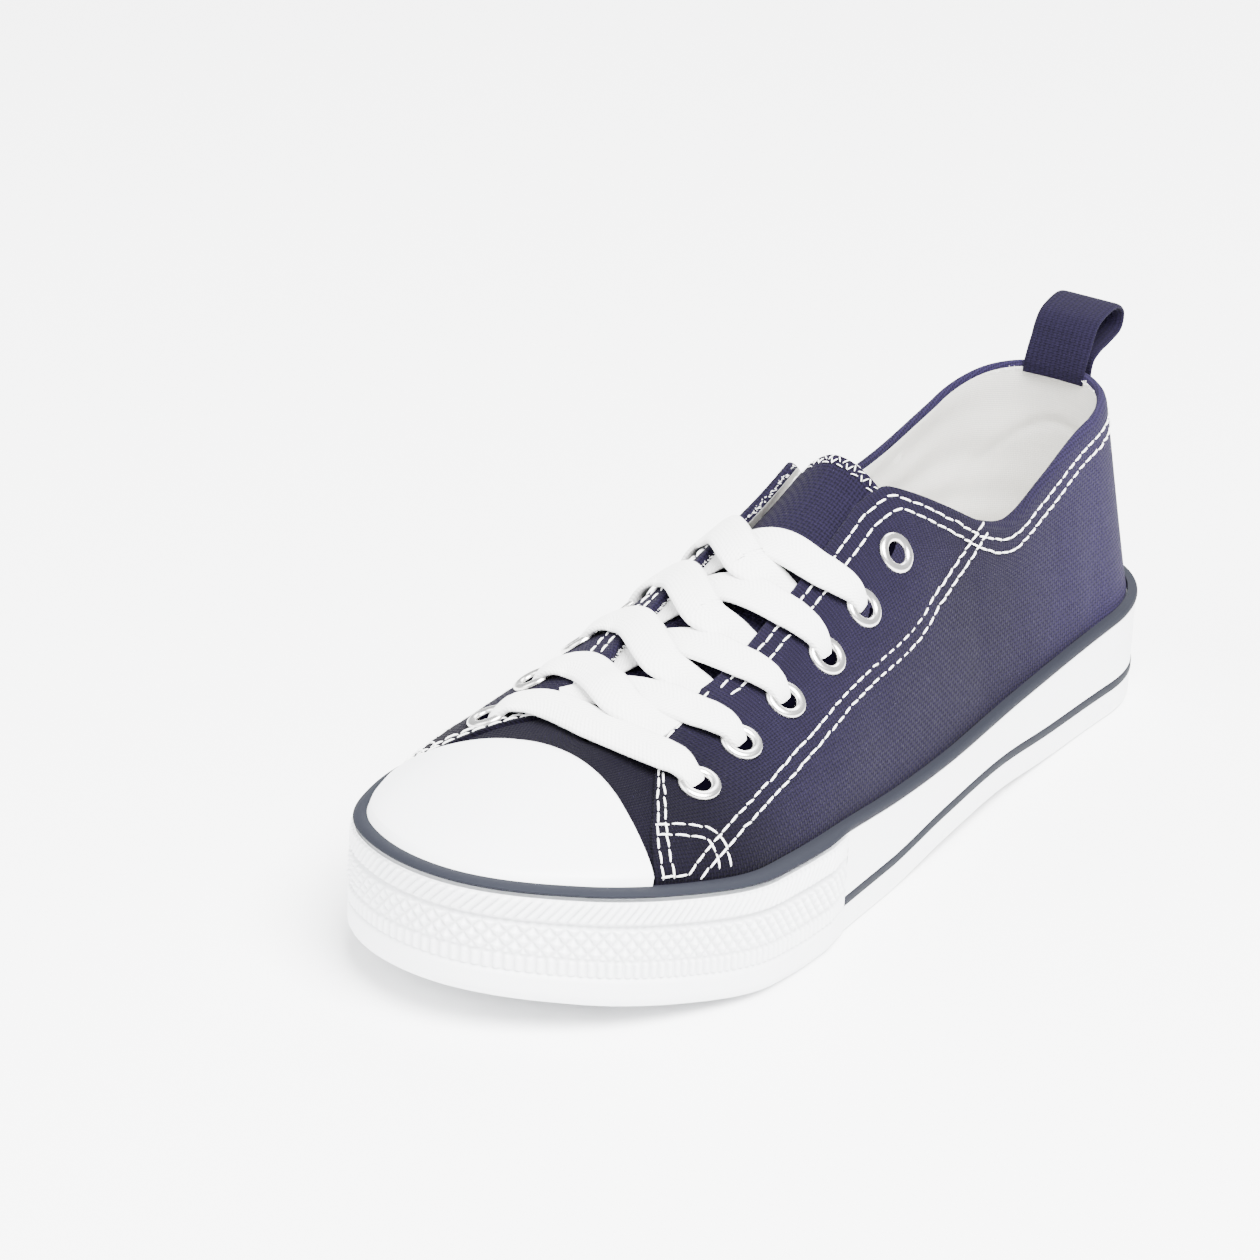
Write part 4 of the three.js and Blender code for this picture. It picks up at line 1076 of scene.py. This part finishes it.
def build_loop():
    """Webbing band: a thin rounded section carried along the loop's side view; near the collar
    it bends with the round of the heel, and its inner leg lies on the lining."""
    middle = np.array([1e-6])
    seat = off_skin(middle, edge_share(middle), (QUARTER_STEP - CANVAS) / 2)[0]
    back, up = np.array(LOOP_BACK), np.array(LOOP_UP)
    path = soft_line(np.stack([seat[0] + 1 - back * LOOP_REACH, 0 * back,
                               seat[2] + GAP + up * LOOP_RISE], 1), 400)
    path, at = resample(path, 0.35)
    tangent = unit(np.gradient(path, axis=0))
    out = np.stack([tangent[:, 2], 0 * at, -tangent[:, 0]], 1)
    across = np.tile([0.0, 1.0, 0.0], (len(path), 1))
    section = rounded_band(LOOP_WIDTH, LOOP_THICK, 44, 14)
    rings = carry(path, section, across, out)
    near = 1 - np.clip((rings[..., 2] - seat[2] - LOOP_FREE) / LOOP_EASE, 0, 1)
    inner_leg = (at < 0.25 * at[-1])[:, None]
    rings[..., 0] += near * (rings[..., 1] ** 2 / LOOP_ROUND + 1.0 * inner_leg)
    dress("pull_loop_webbing", rings, ["webbing"], "canvas", ["pull_loop"],
          uv=stack(section[:, 0], at[:, None]), sharp=60)


def eyelet_seat(row, side):
    x, y = EYELET_AT[row] * SOLE_LENGTH, side * EYELET_OUT[row] * HALF_BALL
    centre = on_skin(x, y, 0.0)
    axis = unit(on_skin(x, y, 1.0) - centre)
    ahead = unit(np.cross([0.0, 1.0, 0.0], axis))
    return x, y, centre, axis, ahead, np.cross(axis, ahead)


FLANGE_FOOT, FLANGE_HEIGHT = QUARTER_STEP + GAP * 0.3, 0.95
# Past the bore: how much wider than it and how high, in and out of the cloth
BARREL = [(0, 0.2), (0, -CANVAS), (0.3, -CANVAS - 0.25), (0.55, -CANVAS), (0.4, 0.2),
          (0.5, FLANGE_FOOT - 0.02)]
# Disc of painted shadow in the bore: its gap to the bore and to the middle, and its thickness
DISC_GAP, DISC_THICK = 0.02, 0.06


def build_eyelets():
    """Turned ring: a rolled flange, a half circle from rim to bore, and a barrel through the
    cloth with its end spread on the inside; the bore is closed by a dark disc of painted shadow."""
    middle, width = (EYELET_RADIUS + EYELET_BORE) / 2, (EYELET_RADIUS - EYELET_BORE) / 2
    ring = [(middle + width * math.cos(t), FLANGE_FOOT + FLANGE_HEIGHT * math.sin(t) ** 0.8)
            for t in np.linspace(0, math.pi, 12)]
    ring = np.array(ring + [(EYELET_BORE + wider, height) for wider, height in BARREL])
    rim, below = EYELET_BORE - DISC_GAP, FLANGE_FOOT - DISC_THICK
    disc = np.array([(rim, below), (rim, FLANGE_FOOT), (DISC_GAP, FLANGE_FOOT), (DISC_GAP, below)])
    turn = np.linspace(0, 2 * math.pi, 48, endpoint=False)[:, None]
    painted_shadow_discs = []
    for row in range(6):
        for side, name in ((1, "lateral"), (-1, "medial")):
            _, _, centre, axis, ahead, sideways = eyelet_seat(row, side)
            spoke = (np.cos(turn) * ahead + np.sin(turn) * sideways)[:, None]
            turned, painted_shadow_disc = [centre + spoke * profile[None, :, :1] + axis * profile[None, :, 1:]
                            for profile in (ring, disc)]
            dress(f"eyelet_ring_{name}_{row + 1}", turned, ["nickel"], "nickel",
                  [f"eyelet_{name}_{row + 1}"], True)
            painted_shadow_discs.append((painted_shadow_disc.reshape(-1, 3), grid_faces(*painted_shadow_disc.shape[:2], True, True)))
    # All discs of painted shadow, in the near-black copy of the canvas
    join_rows("eyelet_holes", painted_shadow_discs, "shade", "canvas")


# Heights of the lace's middle over the skin (mm)
UNDER_QUARTER = -2.35
OVER_QUARTER = QUARTER_STEP + 1.1
OVER_FLANGE = QUARTER_STEP + 1.95
IN_BORE = -0.6
LACE_POINTS = 260
LACE_BOW, LACE_WAVER = 0.35, 0.25
LACE_MOST_THICK = 2.1  # thickness where the lace is drawn together, to its own


def ribbon(name, flat, heights, widths, nodes=(), waver=0.0):
    """Lace: the flat path (x, y) is lifted off the skin by its heights; at its ends the band
    narrows and thickens where it is drawn into an eyelet."""
    line = soft_line(flat, LACE_POINTS)
    t = np.linspace(0, 1, LACE_POINTS)
    lift = curve(*np.array(heights).T, t)
    path = on_skin(line[:, 0], line[:, 1], lift)
    up = unit(on_skin(line[:, 0], line[:, 1], lift + 1) - path)
    tangent = unit(np.gradient(path, axis=0))
    across = unit(np.cross(tangent, up))
    up = unit(np.cross(across, tangent))
    width = np.interp(t, *np.array(widths).T) * size("lace_width")
    drawn = np.clip(size("lace_width") / width, 1, LACE_MOST_THICK)
    thick = size("lace_thick") * drawn ** 0.8
    section = rounded_band(1, 1, 32, 5)
    profile = section[None] * np.stack([width, thick], -1)[:, None]
    bow = LACE_BOW * (np.abs(section[:, 0]) * 2) ** 2 * np.sin(t * math.pi)[:, None]
    profile[..., 1] -= bow - waver * np.sin(t * 19)[:, None] * section[None, :, 0]
    return dress(name, carry(path, profile, across, up), ["lace"], "cotton", nodes,
                 uv=stack(run_of(path)[:, None], section[:, 0] * LACE_MAP), sharp=70)


# Lace tables: a share of the strip's length with its height or its part of the full width
LACE_BACK = [8.6, 7.4, 6.0, 4.6]
BAR_DIVE = [(0.0, IN_BORE), (0.035, 1.2), (0.09, OVER_FLANGE), (0.16, OVER_FLANGE - 0.1)]
BAR_OVER = [(0.3, OVER_QUARTER), (0.5, OVER_QUARTER - 0.2), (0.7, OVER_QUARTER)]
BAR_WIDTHS = [(0, 0.5), (0.05, 0.62), (0.13, 0.95), (0.2, 1), (0.8, 1), (0.87, 0.95), (0.95, 0.62),
              (1, 0.5)]
UPPER_WIDTHS = [(0, 0.9), (0.3, 1), (0.82, 1), (0.9, 0.8), (1, 0.45)]
LOWER_WIDTHS = [(0, 0.9), (0.2, 1), (0.78, 1), (0.88, 0.82), (0.96, 0.56), (1, 0.45)]


def upper_strip(row, start, sx, ex, ey, begin, rise):
    """Path and heights of a strip to the inner side, over its partner."""
    back = sx - LACE_BACK[row]
    flat = [(back, start), (back - 0.5, 8.5), (back - 1.2, 0.5), (ex - 2.5, -16), (ex, ey)]
    heights = [(0, begin), (0.13, begin * 0.5 + rise * 0.5), (0.23, 1.0 + rise), (0.32, 2.0 + rise),
               (0.45, 2.6 + rise), (0.6, 2.5), (0.78, OVER_QUARTER + 0.2),
               (0.9, OVER_FLANGE - 0.25), (0.96, 1.5), (1.0, IN_BORE)]
    return flat, heights, UPPER_WIDTHS


def lower_strip(row, start, sx, ex, ey, begin, rise):
    """Path and heights of a strip to the outer side; the last one stands up a little more."""
    hump, ahead = (0.5, 4.5) if row == 3 else (0.0, 0.9)
    back = sx - (LACE_BACK[0] if row == 0 else 6)
    flat = [(back, start), (ex + 2.7 + ahead, -7.5), (ex + ahead, 1), (ex + ahead * 0.9, 14), (ex, ey)]
    heights = [(0, begin), (0.12, begin * 0.8), (0.25, begin * 0.45 + rise * 0.3 + hump),
               (0.44, 0.5 + rise * 0.4 + hump * 1.3), (0.58, 1.3 + rise * 0.3 + hump * 1.2),
               (0.73, OVER_QUARTER + 0.1 + hump * 0.5), (0.84, OVER_FLANGE),
               (0.92, OVER_FLANGE - 0.1), (0.97, 1.3), (1.0, IN_BORE)]
    return flat, heights, LOWER_WIDTHS


def build_laces():
    """One straight bar on the first pair, then two strips to each next pair; the strip to the
    inner side lies on top. The first two start over the bar, the others under the quarters."""
    seats = {(row, side): eyelet_seat(row, side)[:2] for row in range(6) for side in (1, -1)}
    (ax, ay), (bx, by) = seats[0, 1], seats[0, -1]
    ribbon("lace_bar_cotton",
           [(ax, ay), (ax - 0.4, ay * 0.5), (ax - 1.6, 0), (bx - 4.5, by * 0.62), (bx, by)],
           BAR_DIVE + BAR_OVER + [(1 - at, height) for at, height in BAR_DIVE[::-1]],
           BAR_WIDTHS, ["lace_bar"])
    for row in range(4):
        begin, rise = (0.75, 1.1) if row == 0 else (UNDER_QUARTER, 0.0)
        for side, order, strip in ((1, "lower", lower_strip), (-1, "upper", upper_strip)):
            (sx, sy), (ex, ey) = seats[row, -side], seats[row + 1, side]
            half = THROAT_WIDTH * max(0.44, float(curve(FACING_AT, FACING_HALF, sx / SOLE_LENGTH)))
            start = -side * min(half + 3.0, abs(sy) - 2)
            ribbon(f"lace_strip_{order}_{row + 1}", *strip(row, start, sx, ex, ey, begin, rise),
                   [f"lace_crossing_{row + 1}"] if side < 0 else (), waver=LACE_WAVER)


# ---- Stitching ----
STITCH_SIDES = 6
STITCH_SHARE = 0.92  # how much of its step a stitch fills
STITCH_SCATTER = 0.06


def threads(middle, way, up, half, thick):
    """Spindles: each is a ring profile carried half its length to either side of its middle, and
    drawn down at its ends; all are worked out at once."""
    side = unit(np.cross(way, up))
    t = np.array([-1.0, -0.86, -0.45, 0.45, 0.86, 1.0])
    radius = np.array([0.0, 0.75, 1.0, 1.0, 0.75, 0.0]) * thick / 2
    drop = -np.abs(t) ** 3 * thick * 0.7
    turn = np.linspace(0, 2 * math.pi, STITCH_SIDES, endpoint=False)
    middle, way, up, side = [values[:, None, None] for values in (middle, way, up, side)]
    far = np.asarray(half, float).reshape(-1, 1, 1, 1) * t[None, :, None, None]
    high = drop[:, None, None] + (radius[:, None] * np.sin(turn))[..., None]
    body = middle + way * far + up * high + side * (radius[:, None] * np.cos(turn))[..., None]
    first = np.arange(len(middle)) * len(t) * STITCH_SIDES
    cells = grid_faces(len(t), STITCH_SIDES, False, True)
    return body.reshape(-1, 3), (cells[None] + first[:, None, None]).reshape(-1, 4)


def stitch_row(points, normals, length, thick, seed):
    """A line of spindles at an even step, each turned a little at random."""
    rng = np.random.default_rng(seed)
    lengths = run_of(points)
    count = max(1, int(lengths[-1] // length))
    step = lengths[-1] / count
    at = (np.arange(count) + 0.5) * step
    ahead, behind = [pick(points, lengths, at + share * step) for share in (0.3, -0.3)]
    middle = pick(points, lengths, at) + rng.normal(0, STITCH_SCATTER, (count, 3))
    way, up = unit(ahead - behind), unit(pick(normals, lengths, at))
    way = unit(way + unit(np.cross(way, up)) * rng.normal(0, STITCH_SCATTER, (count, 1)))
    return threads(middle, way, up, [step * STITCH_SHARE / 2], thick)


def join_rows(name, rows, key="thread", slot="cotton"):
    """One mesh of many small bodies, each a pair of points and faces."""
    points, faces, start = [], [], 0
    for body, cells in rows:
        points.append(body)
        faces.append(cells + start)
        start += len(body)
    place(lay_mesh(name, np.concatenate(points), np.concatenate(faces), [key], sharp=0), slot)


def line_on(stations, shares, lift):
    return off_skin(stations, shares, lift), normal(stations, shares)


def skin_line(flat, side, lift, aside=0.0, count=240):
    """Line over the quarter through given (x, y) places of the outer side, or at the same
    stations and shares of the inner side, moved aside along the surface."""
    line = soft_line(flat, count)
    station, share = share_at(line[:, 0], line[:, 1])
    path, up = line_on(side * station, share, lift)
    return path + aside * unit(np.cross(unit(np.gradient(path, axis=0)), up)), up


def below_edge(stations, drop):
    """Line a set distance below the top edge."""
    edge, step = edge_share(stations), 0.01
    run = np.linalg.norm(skin(stations, edge + step) - skin(stations, edge - step), axis=-1)
    return edge + drop * 2 * step / run


# Given rows on the outer side; the inner side takes the same stations and shares
DIAGONAL = [(89.3, 24.1), (104.6, 26.1), (115.3, 27.5), (128.0, 29.4), (156.3, 31.4),
            (177.8, 33.9), (198.0, 35.9), (214.3, 37.2), (223.4, 37.2), (230.5, 36.4),
            (236.2, 34.2)]
PATCH = [(228.2, 27.2), (224.6, 30.0), (221.2, 33.0), (219.2, 35.4), (219.4, 37.6), (220.4, 39.6)]
EDGE_DROP, FRONT_BACK = 2.3, 1.9  # first row below the top edge, and behind the quarter's front
FIRST_SEED = 11


def build_stitching():
    """Double rows on both sides: along the top edge, along the quarter's front, and along the
    two listed lines."""
    length, thick, gap = size("stitch_length"), size("stitch_thick"), size("row_gap")
    lift = QUARTER_STEP + thick * 0.3
    rows = []

    def sew(path, up):
        rows.append(stitch_row(path, up, length, thick, FIRST_SEED + len(rows)))

    for side in (1, -1):
        end = float(front(np.array([1.0]), side)[0])
        stations = side * np.linspace(0.5, end - 2.2, 420)
        for drop in (EDGE_DROP, EDGE_DROP + gap):
            sew(*line_on(stations, below_edge(stations, drop), lift))
        v = np.linspace(0.97, 0.03, 120)
        for back in (FRONT_BACK, FRONT_BACK + gap):
            stations = side * (front(v, side) - back)
            sew(*line_on(stations, wall_share(v, stations), lift))
        for line in (DIAGONAL, PATCH):
            for aside in (-gap / 2, gap / 2):
                sew(*skin_line(line, side, lift, aside))
    join_rows("seam_stitches", rows)


OVERLOCK_DEPTH, OVERLOCK_TURNS, OVERLOCK_NARROW = 0.020, 8.5, 0.9


def build_overlock():
    """Zigzag thread over the tongue's top edge, to and fro between the edge and a line 2 mm
    below it, and a row of stitches along the edge itself."""
    across = np.linspace(-0.93, 0.93, 240)
    zigzag = 0.004 + OVERLOCK_DEPTH * np.abs(np.mod(across * OVERLOCK_TURNS, 1.0) * 2 - 1)
    rows = []
    for share, behind, lift, length, thick, seed in ((zigzag, 0.0, 0.25, 1.9, 0.3, 77),
                                                     (0.0, 0.2, -0.6, 2.2, 0.4, 78)):
        x = tongue_x(share, across ** 2) - behind
        y = tongue_half(share) * across * OVERLOCK_NARROW
        path = on_skin(x, y, lift - TONGUE_DEPTH)
        up = unit(on_skin(x, y, lift - TONGUE_DEPTH + 1) - path)
        rows.append(stitch_row(path, up, length, thick, seed))
    join_rows("tongue_overlock", rows)


FRAY_SEED = 5
FRAY_SLANT, FRAY_LIFT, FRAY_HALF, FRAY_THICK = 0.8, 0.35, (0.3, 0.95), 0.2
# Raw edges that fray: first and last station, how many threads, and their foot's height (mm)
FRAYED = [(-along(0.745), -along(0.43), 420, -0.6), (-heel_turn(50), heel_turn(50), 260, 0.3 - CANVAS)]


def build_fray():
    """Loose threads at the raw edges: each starts at a chance place of the inner facing or of the
    lining at the heel and leans out of the edge by a chance slant."""
    rng = np.random.default_rng(FRAY_SEED)
    rows = []
    for first, last, count, depth in FRAYED:
        stations = rng.uniform(first, last, count)
        edge = edge_share(stations)
        foot, up = line_on(stations, edge, depth)
        out = unit(skin(stations, edge - 0.02) - skin(stations, edge + 0.02))
        slant = unit(np.cross(out, up)) * rng.normal(0, FRAY_SLANT, (count, 1))
        way = unit(out + slant + up * rng.normal(0, FRAY_LIFT, (count, 1)))
        half = rng.uniform(*FRAY_HALF, count)
        rows.append(threads(foot + way * half[:, None] * 0.7, way, up, half, FRAY_THICK))
    join_rows("frayed_threads", rows)


# ---- Stage ----
# Camera: degrees, mm, and pixels of the image; it sees the aimed point at the named pixel
CAMERA = {"turn": 121.81, "height": 22.58, "roll": 3.204, "away": 1400.0, "focal": 4.4681 * 1400.0,
          "aim": (135.0, 0.0, 30.0), "pixel": (776.38, 699.63), "image": 1260.0}
SENSOR = 36.0
FLOOR_HALF, FLOOR_POINTS, FLOOR_LEVEL = 4.0, 41, -0.00005
SKY = (0.96, 0.98, 1.0, 1)
LIGHT_AIM = Vector((0, 0, 0.03))
BACK_SHARE = 0.8  # power of the light behind, of the side light's


def build_stage():
    """Pale flat floor, large soft lights, and the camera: its axes are right, up and back at the
    set turn and height, rolled, and it stands where the aimed point falls on its pixel."""
    stage = bpy.context.scene.sneaker_stage
    turn, rise, roll = [math.radians(CAMERA[key]) for key in ("turn", "height", "roll")]
    back = np.array([math.sin(turn) * math.cos(rise), -math.cos(turn) * math.cos(rise),
                     math.sin(rise)])
    level = np.array([math.cos(turn), math.sin(turn), 0.0])
    high = np.cross(back, level)
    right = level * math.cos(roll) + high * math.sin(roll)
    up = -level * math.sin(roll) + high * math.cos(roll)
    aim = np.array(CAMERA["aim"]) + HEEL_TIP
    scale = CAMERA["away"] / CAMERA["focal"]
    off = np.array(CAMERA["pixel"]) - CAMERA["image"] / 2
    eye = (aim - off[0] * scale * right + off[1] * scale * up + CAMERA["away"] * back) / MM
    data = bpy.data.cameras.new("camera")
    data.sensor_width = SENSOR
    data.lens = CAMERA["focal"] * SENSOR / CAMERA["image"]
    data.clip_start, data.clip_end = 0.05, 50.0
    camera = link("camera", data)
    camera.matrix_world = Matrix([*np.stack([right, up, back, eye], 1).tolist(), [0, 0, 0, 1]])
    bpy.context.scene.camera = camera

    side = np.linspace(-FLOOR_HALF, FLOOR_HALF, FLOOR_POINTS)
    points = stack(side[:, None], side, FLOOR_LEVEL).reshape(-1, 3)
    mesh = bpy.data.meshes.new("floor")
    mesh.from_pydata(points.tolist(), [], grid_faces(FLOOR_POINTS, FLOOR_POINTS).tolist())
    paint = Paint("floor_paint", 0.9, Specular_IOR_Level=0.1)
    tone = 1.0 + (paint.noise(paint.place(), 3.0, 3.0) - 0.5) * 0.01
    paint.feed("Base Color", paint.tint(stage.floor, tone))
    mesh.materials.append(paint.material)
    floor = link("floor", mesh)

    world = bpy.data.worlds.new("studio")
    world.use_nodes = True
    sky = world.node_tree.nodes["Background"]
    sky.inputs["Color"].default_value = SKY
    sky.inputs["Strength"].default_value = stage.world_strength
    bpy.context.scene.world = world
    for name, spot, across, watts in (("key", (0.5, 0.9, 1.7), 1.6, stage.key_watts),
                                      ("fill", (1.4, -0.9, 1.1), 1.8, stage.fill_watts),
                                      ("back", (-1.3, -0.4, 1.5), 1.4, stage.fill_watts * BACK_SHARE)):
        lamp = bpy.data.lights.new(name, "AREA")
        lamp.shape, lamp.size, lamp.energy = "DISK", across, watts
        stand = link(name, lamp)
        stand.location = spot
        stand.rotation_euler = (LIGHT_AIM - Vector(spot)).to_track_quat("-Z", "Y").to_euler()


# ---- Add-on ----
class SNEAKER_OT_stage(bpy.types.Operator):
    """Lay the floor and set the lights and camera"""

    bl_idname = "sneaker.stage"
    bl_label = "Stage"

    def execute(self, context):
        build_stage()
        return {"FINISHED"}


class SNEAKER_OT_upper(bpy.types.Operator):
    """Make the canvas upper with its lining"""

    bl_idname = "sneaker.upper"
    bl_label = "Upper"

    def execute(self, context):
        build_upper()
        return {"FINISHED"}


class SNEAKER_OT_toe_cap(bpy.types.Operator):
    """Make the smooth rubber toe cap"""

    bl_idname = "sneaker.toe_cap"
    bl_label = "Toe Cap"

    def execute(self, context):
        build_toe_cap()
        return {"FINISHED"}


class SNEAKER_OT_sole(bpy.types.Operator):
    """Make the cup of the sole and finish the tread"""

    bl_idname = "sneaker.sole"
    bl_label = "Sole"

    def execute(self, context):
        build_midsole()
        build_outsole()
        return {"FINISHED"}


class SNEAKER_OT_bumper(bpy.types.Operator):
    """Make the textured strip round the toe"""

    bl_idname = "sneaker.bumper"
    bl_label = "Toe Bumper"

    def execute(self, context):
        build_bumper()
        return {"FINISHED"}


class SNEAKER_OT_stripes(bpy.types.Operator):
    """Make the two dark stripes of the side wall"""

    bl_idname = "sneaker.stripes"
    bl_label = "Stripes"

    def execute(self, context):
        build_stripes()
        return {"FINISHED"}


class SNEAKER_OT_tongue(bpy.types.Operator):
    """Make the tongue and the thread over its edge"""

    bl_idname = "sneaker.tongue"
    bl_label = "Tongue"

    def execute(self, context):
        build_tongue()
        build_overlock()
        return {"FINISHED"}


class SNEAKER_OT_insole(bpy.types.Operator):
    """Make the covered foot bed"""

    bl_idname = "sneaker.insole"
    bl_label = "Insole"

    def execute(self, context):
        build_insole()
        return {"FINISHED"}


class SNEAKER_OT_loop(bpy.types.Operator):
    """Make the webbing loop at the heel"""

    bl_idname = "sneaker.loop"
    bl_label = "Pull Loop"

    def execute(self, context):
        build_loop()
        return {"FINISHED"}


class SNEAKER_OT_eyelets(bpy.types.Operator):
    """Make the twelve metal eyelets"""

    bl_idname = "sneaker.eyelets"
    bl_label = "Eyelets"

    def execute(self, context):
        build_eyelets()
        return {"FINISHED"}


class SNEAKER_OT_laces(bpy.types.Operator):
    """Make the flat lace, threaded through the eyelets"""

    bl_idname = "sneaker.laces"
    bl_label = "Laces"

    def execute(self, context):
        build_laces()
        return {"FINISHED"}


class SNEAKER_OT_stitching(bpy.types.Operator):
    """Sew the rows of stitches on the upper"""

    bl_idname = "sneaker.stitching"
    bl_label = "Stitching"

    def execute(self, context):
        build_stitching()
        build_fray()
        return {"FINISHED"}


STEPS = (SNEAKER_OT_stage, SNEAKER_OT_sole, SNEAKER_OT_stripes, SNEAKER_OT_bumper, SNEAKER_OT_upper,
         SNEAKER_OT_toe_cap, SNEAKER_OT_insole, SNEAKER_OT_tongue, SNEAKER_OT_loop,
         SNEAKER_OT_eyelets, SNEAKER_OT_laces, SNEAKER_OT_stitching)


class SNEAKER_PT_panel(bpy.types.Panel):
    """Sizes, colours and steps of the sneaker"""

    bl_idname = "SNEAKER_PT_panel"
    bl_label = "Sneaker"
    bl_space_type = "VIEW_3D"
    bl_region_type = "UI"
    bl_category = "Sneaker"

    def draw(self, context):
        scene = context.scene
        for group in (scene.sneaker_sizes, scene.sneaker_colours, scene.sneaker_stage):
            for key in group.bl_rna.properties.keys():
                if key not in ("rna_type", "name"):
                    self.layout.prop(group, key)
        for operator in STEPS:
            self.layout.operator(operator.bl_idname)


CLASSES = (SneakerSizes, SneakerColours, SneakerStage) + STEPS + (SNEAKER_PT_panel,)


def register():
    for cls in CLASSES:
        bpy.utils.register_class(cls)
    bpy.types.Scene.sneaker_sizes = bpy.props.PointerProperty(type=SneakerSizes)
    bpy.types.Scene.sneaker_colours = bpy.props.PointerProperty(type=SneakerColours)
    bpy.types.Scene.sneaker_stage = bpy.props.PointerProperty(type=SneakerStage)


def unregister():
    del bpy.types.Scene.sneaker_sizes
    del bpy.types.Scene.sneaker_colours
    del bpy.types.Scene.sneaker_stage
    for cls in reversed(CLASSES):
        bpy.utils.unregister_class(cls)


def main():
    register()
    for operator in STEPS:
        group, name = operator.bl_idname.split(".")
        getattr(getattr(bpy.ops, group), name)()
    bpy.context.view_layer.update()


if __name__ == "__main__":
    main()
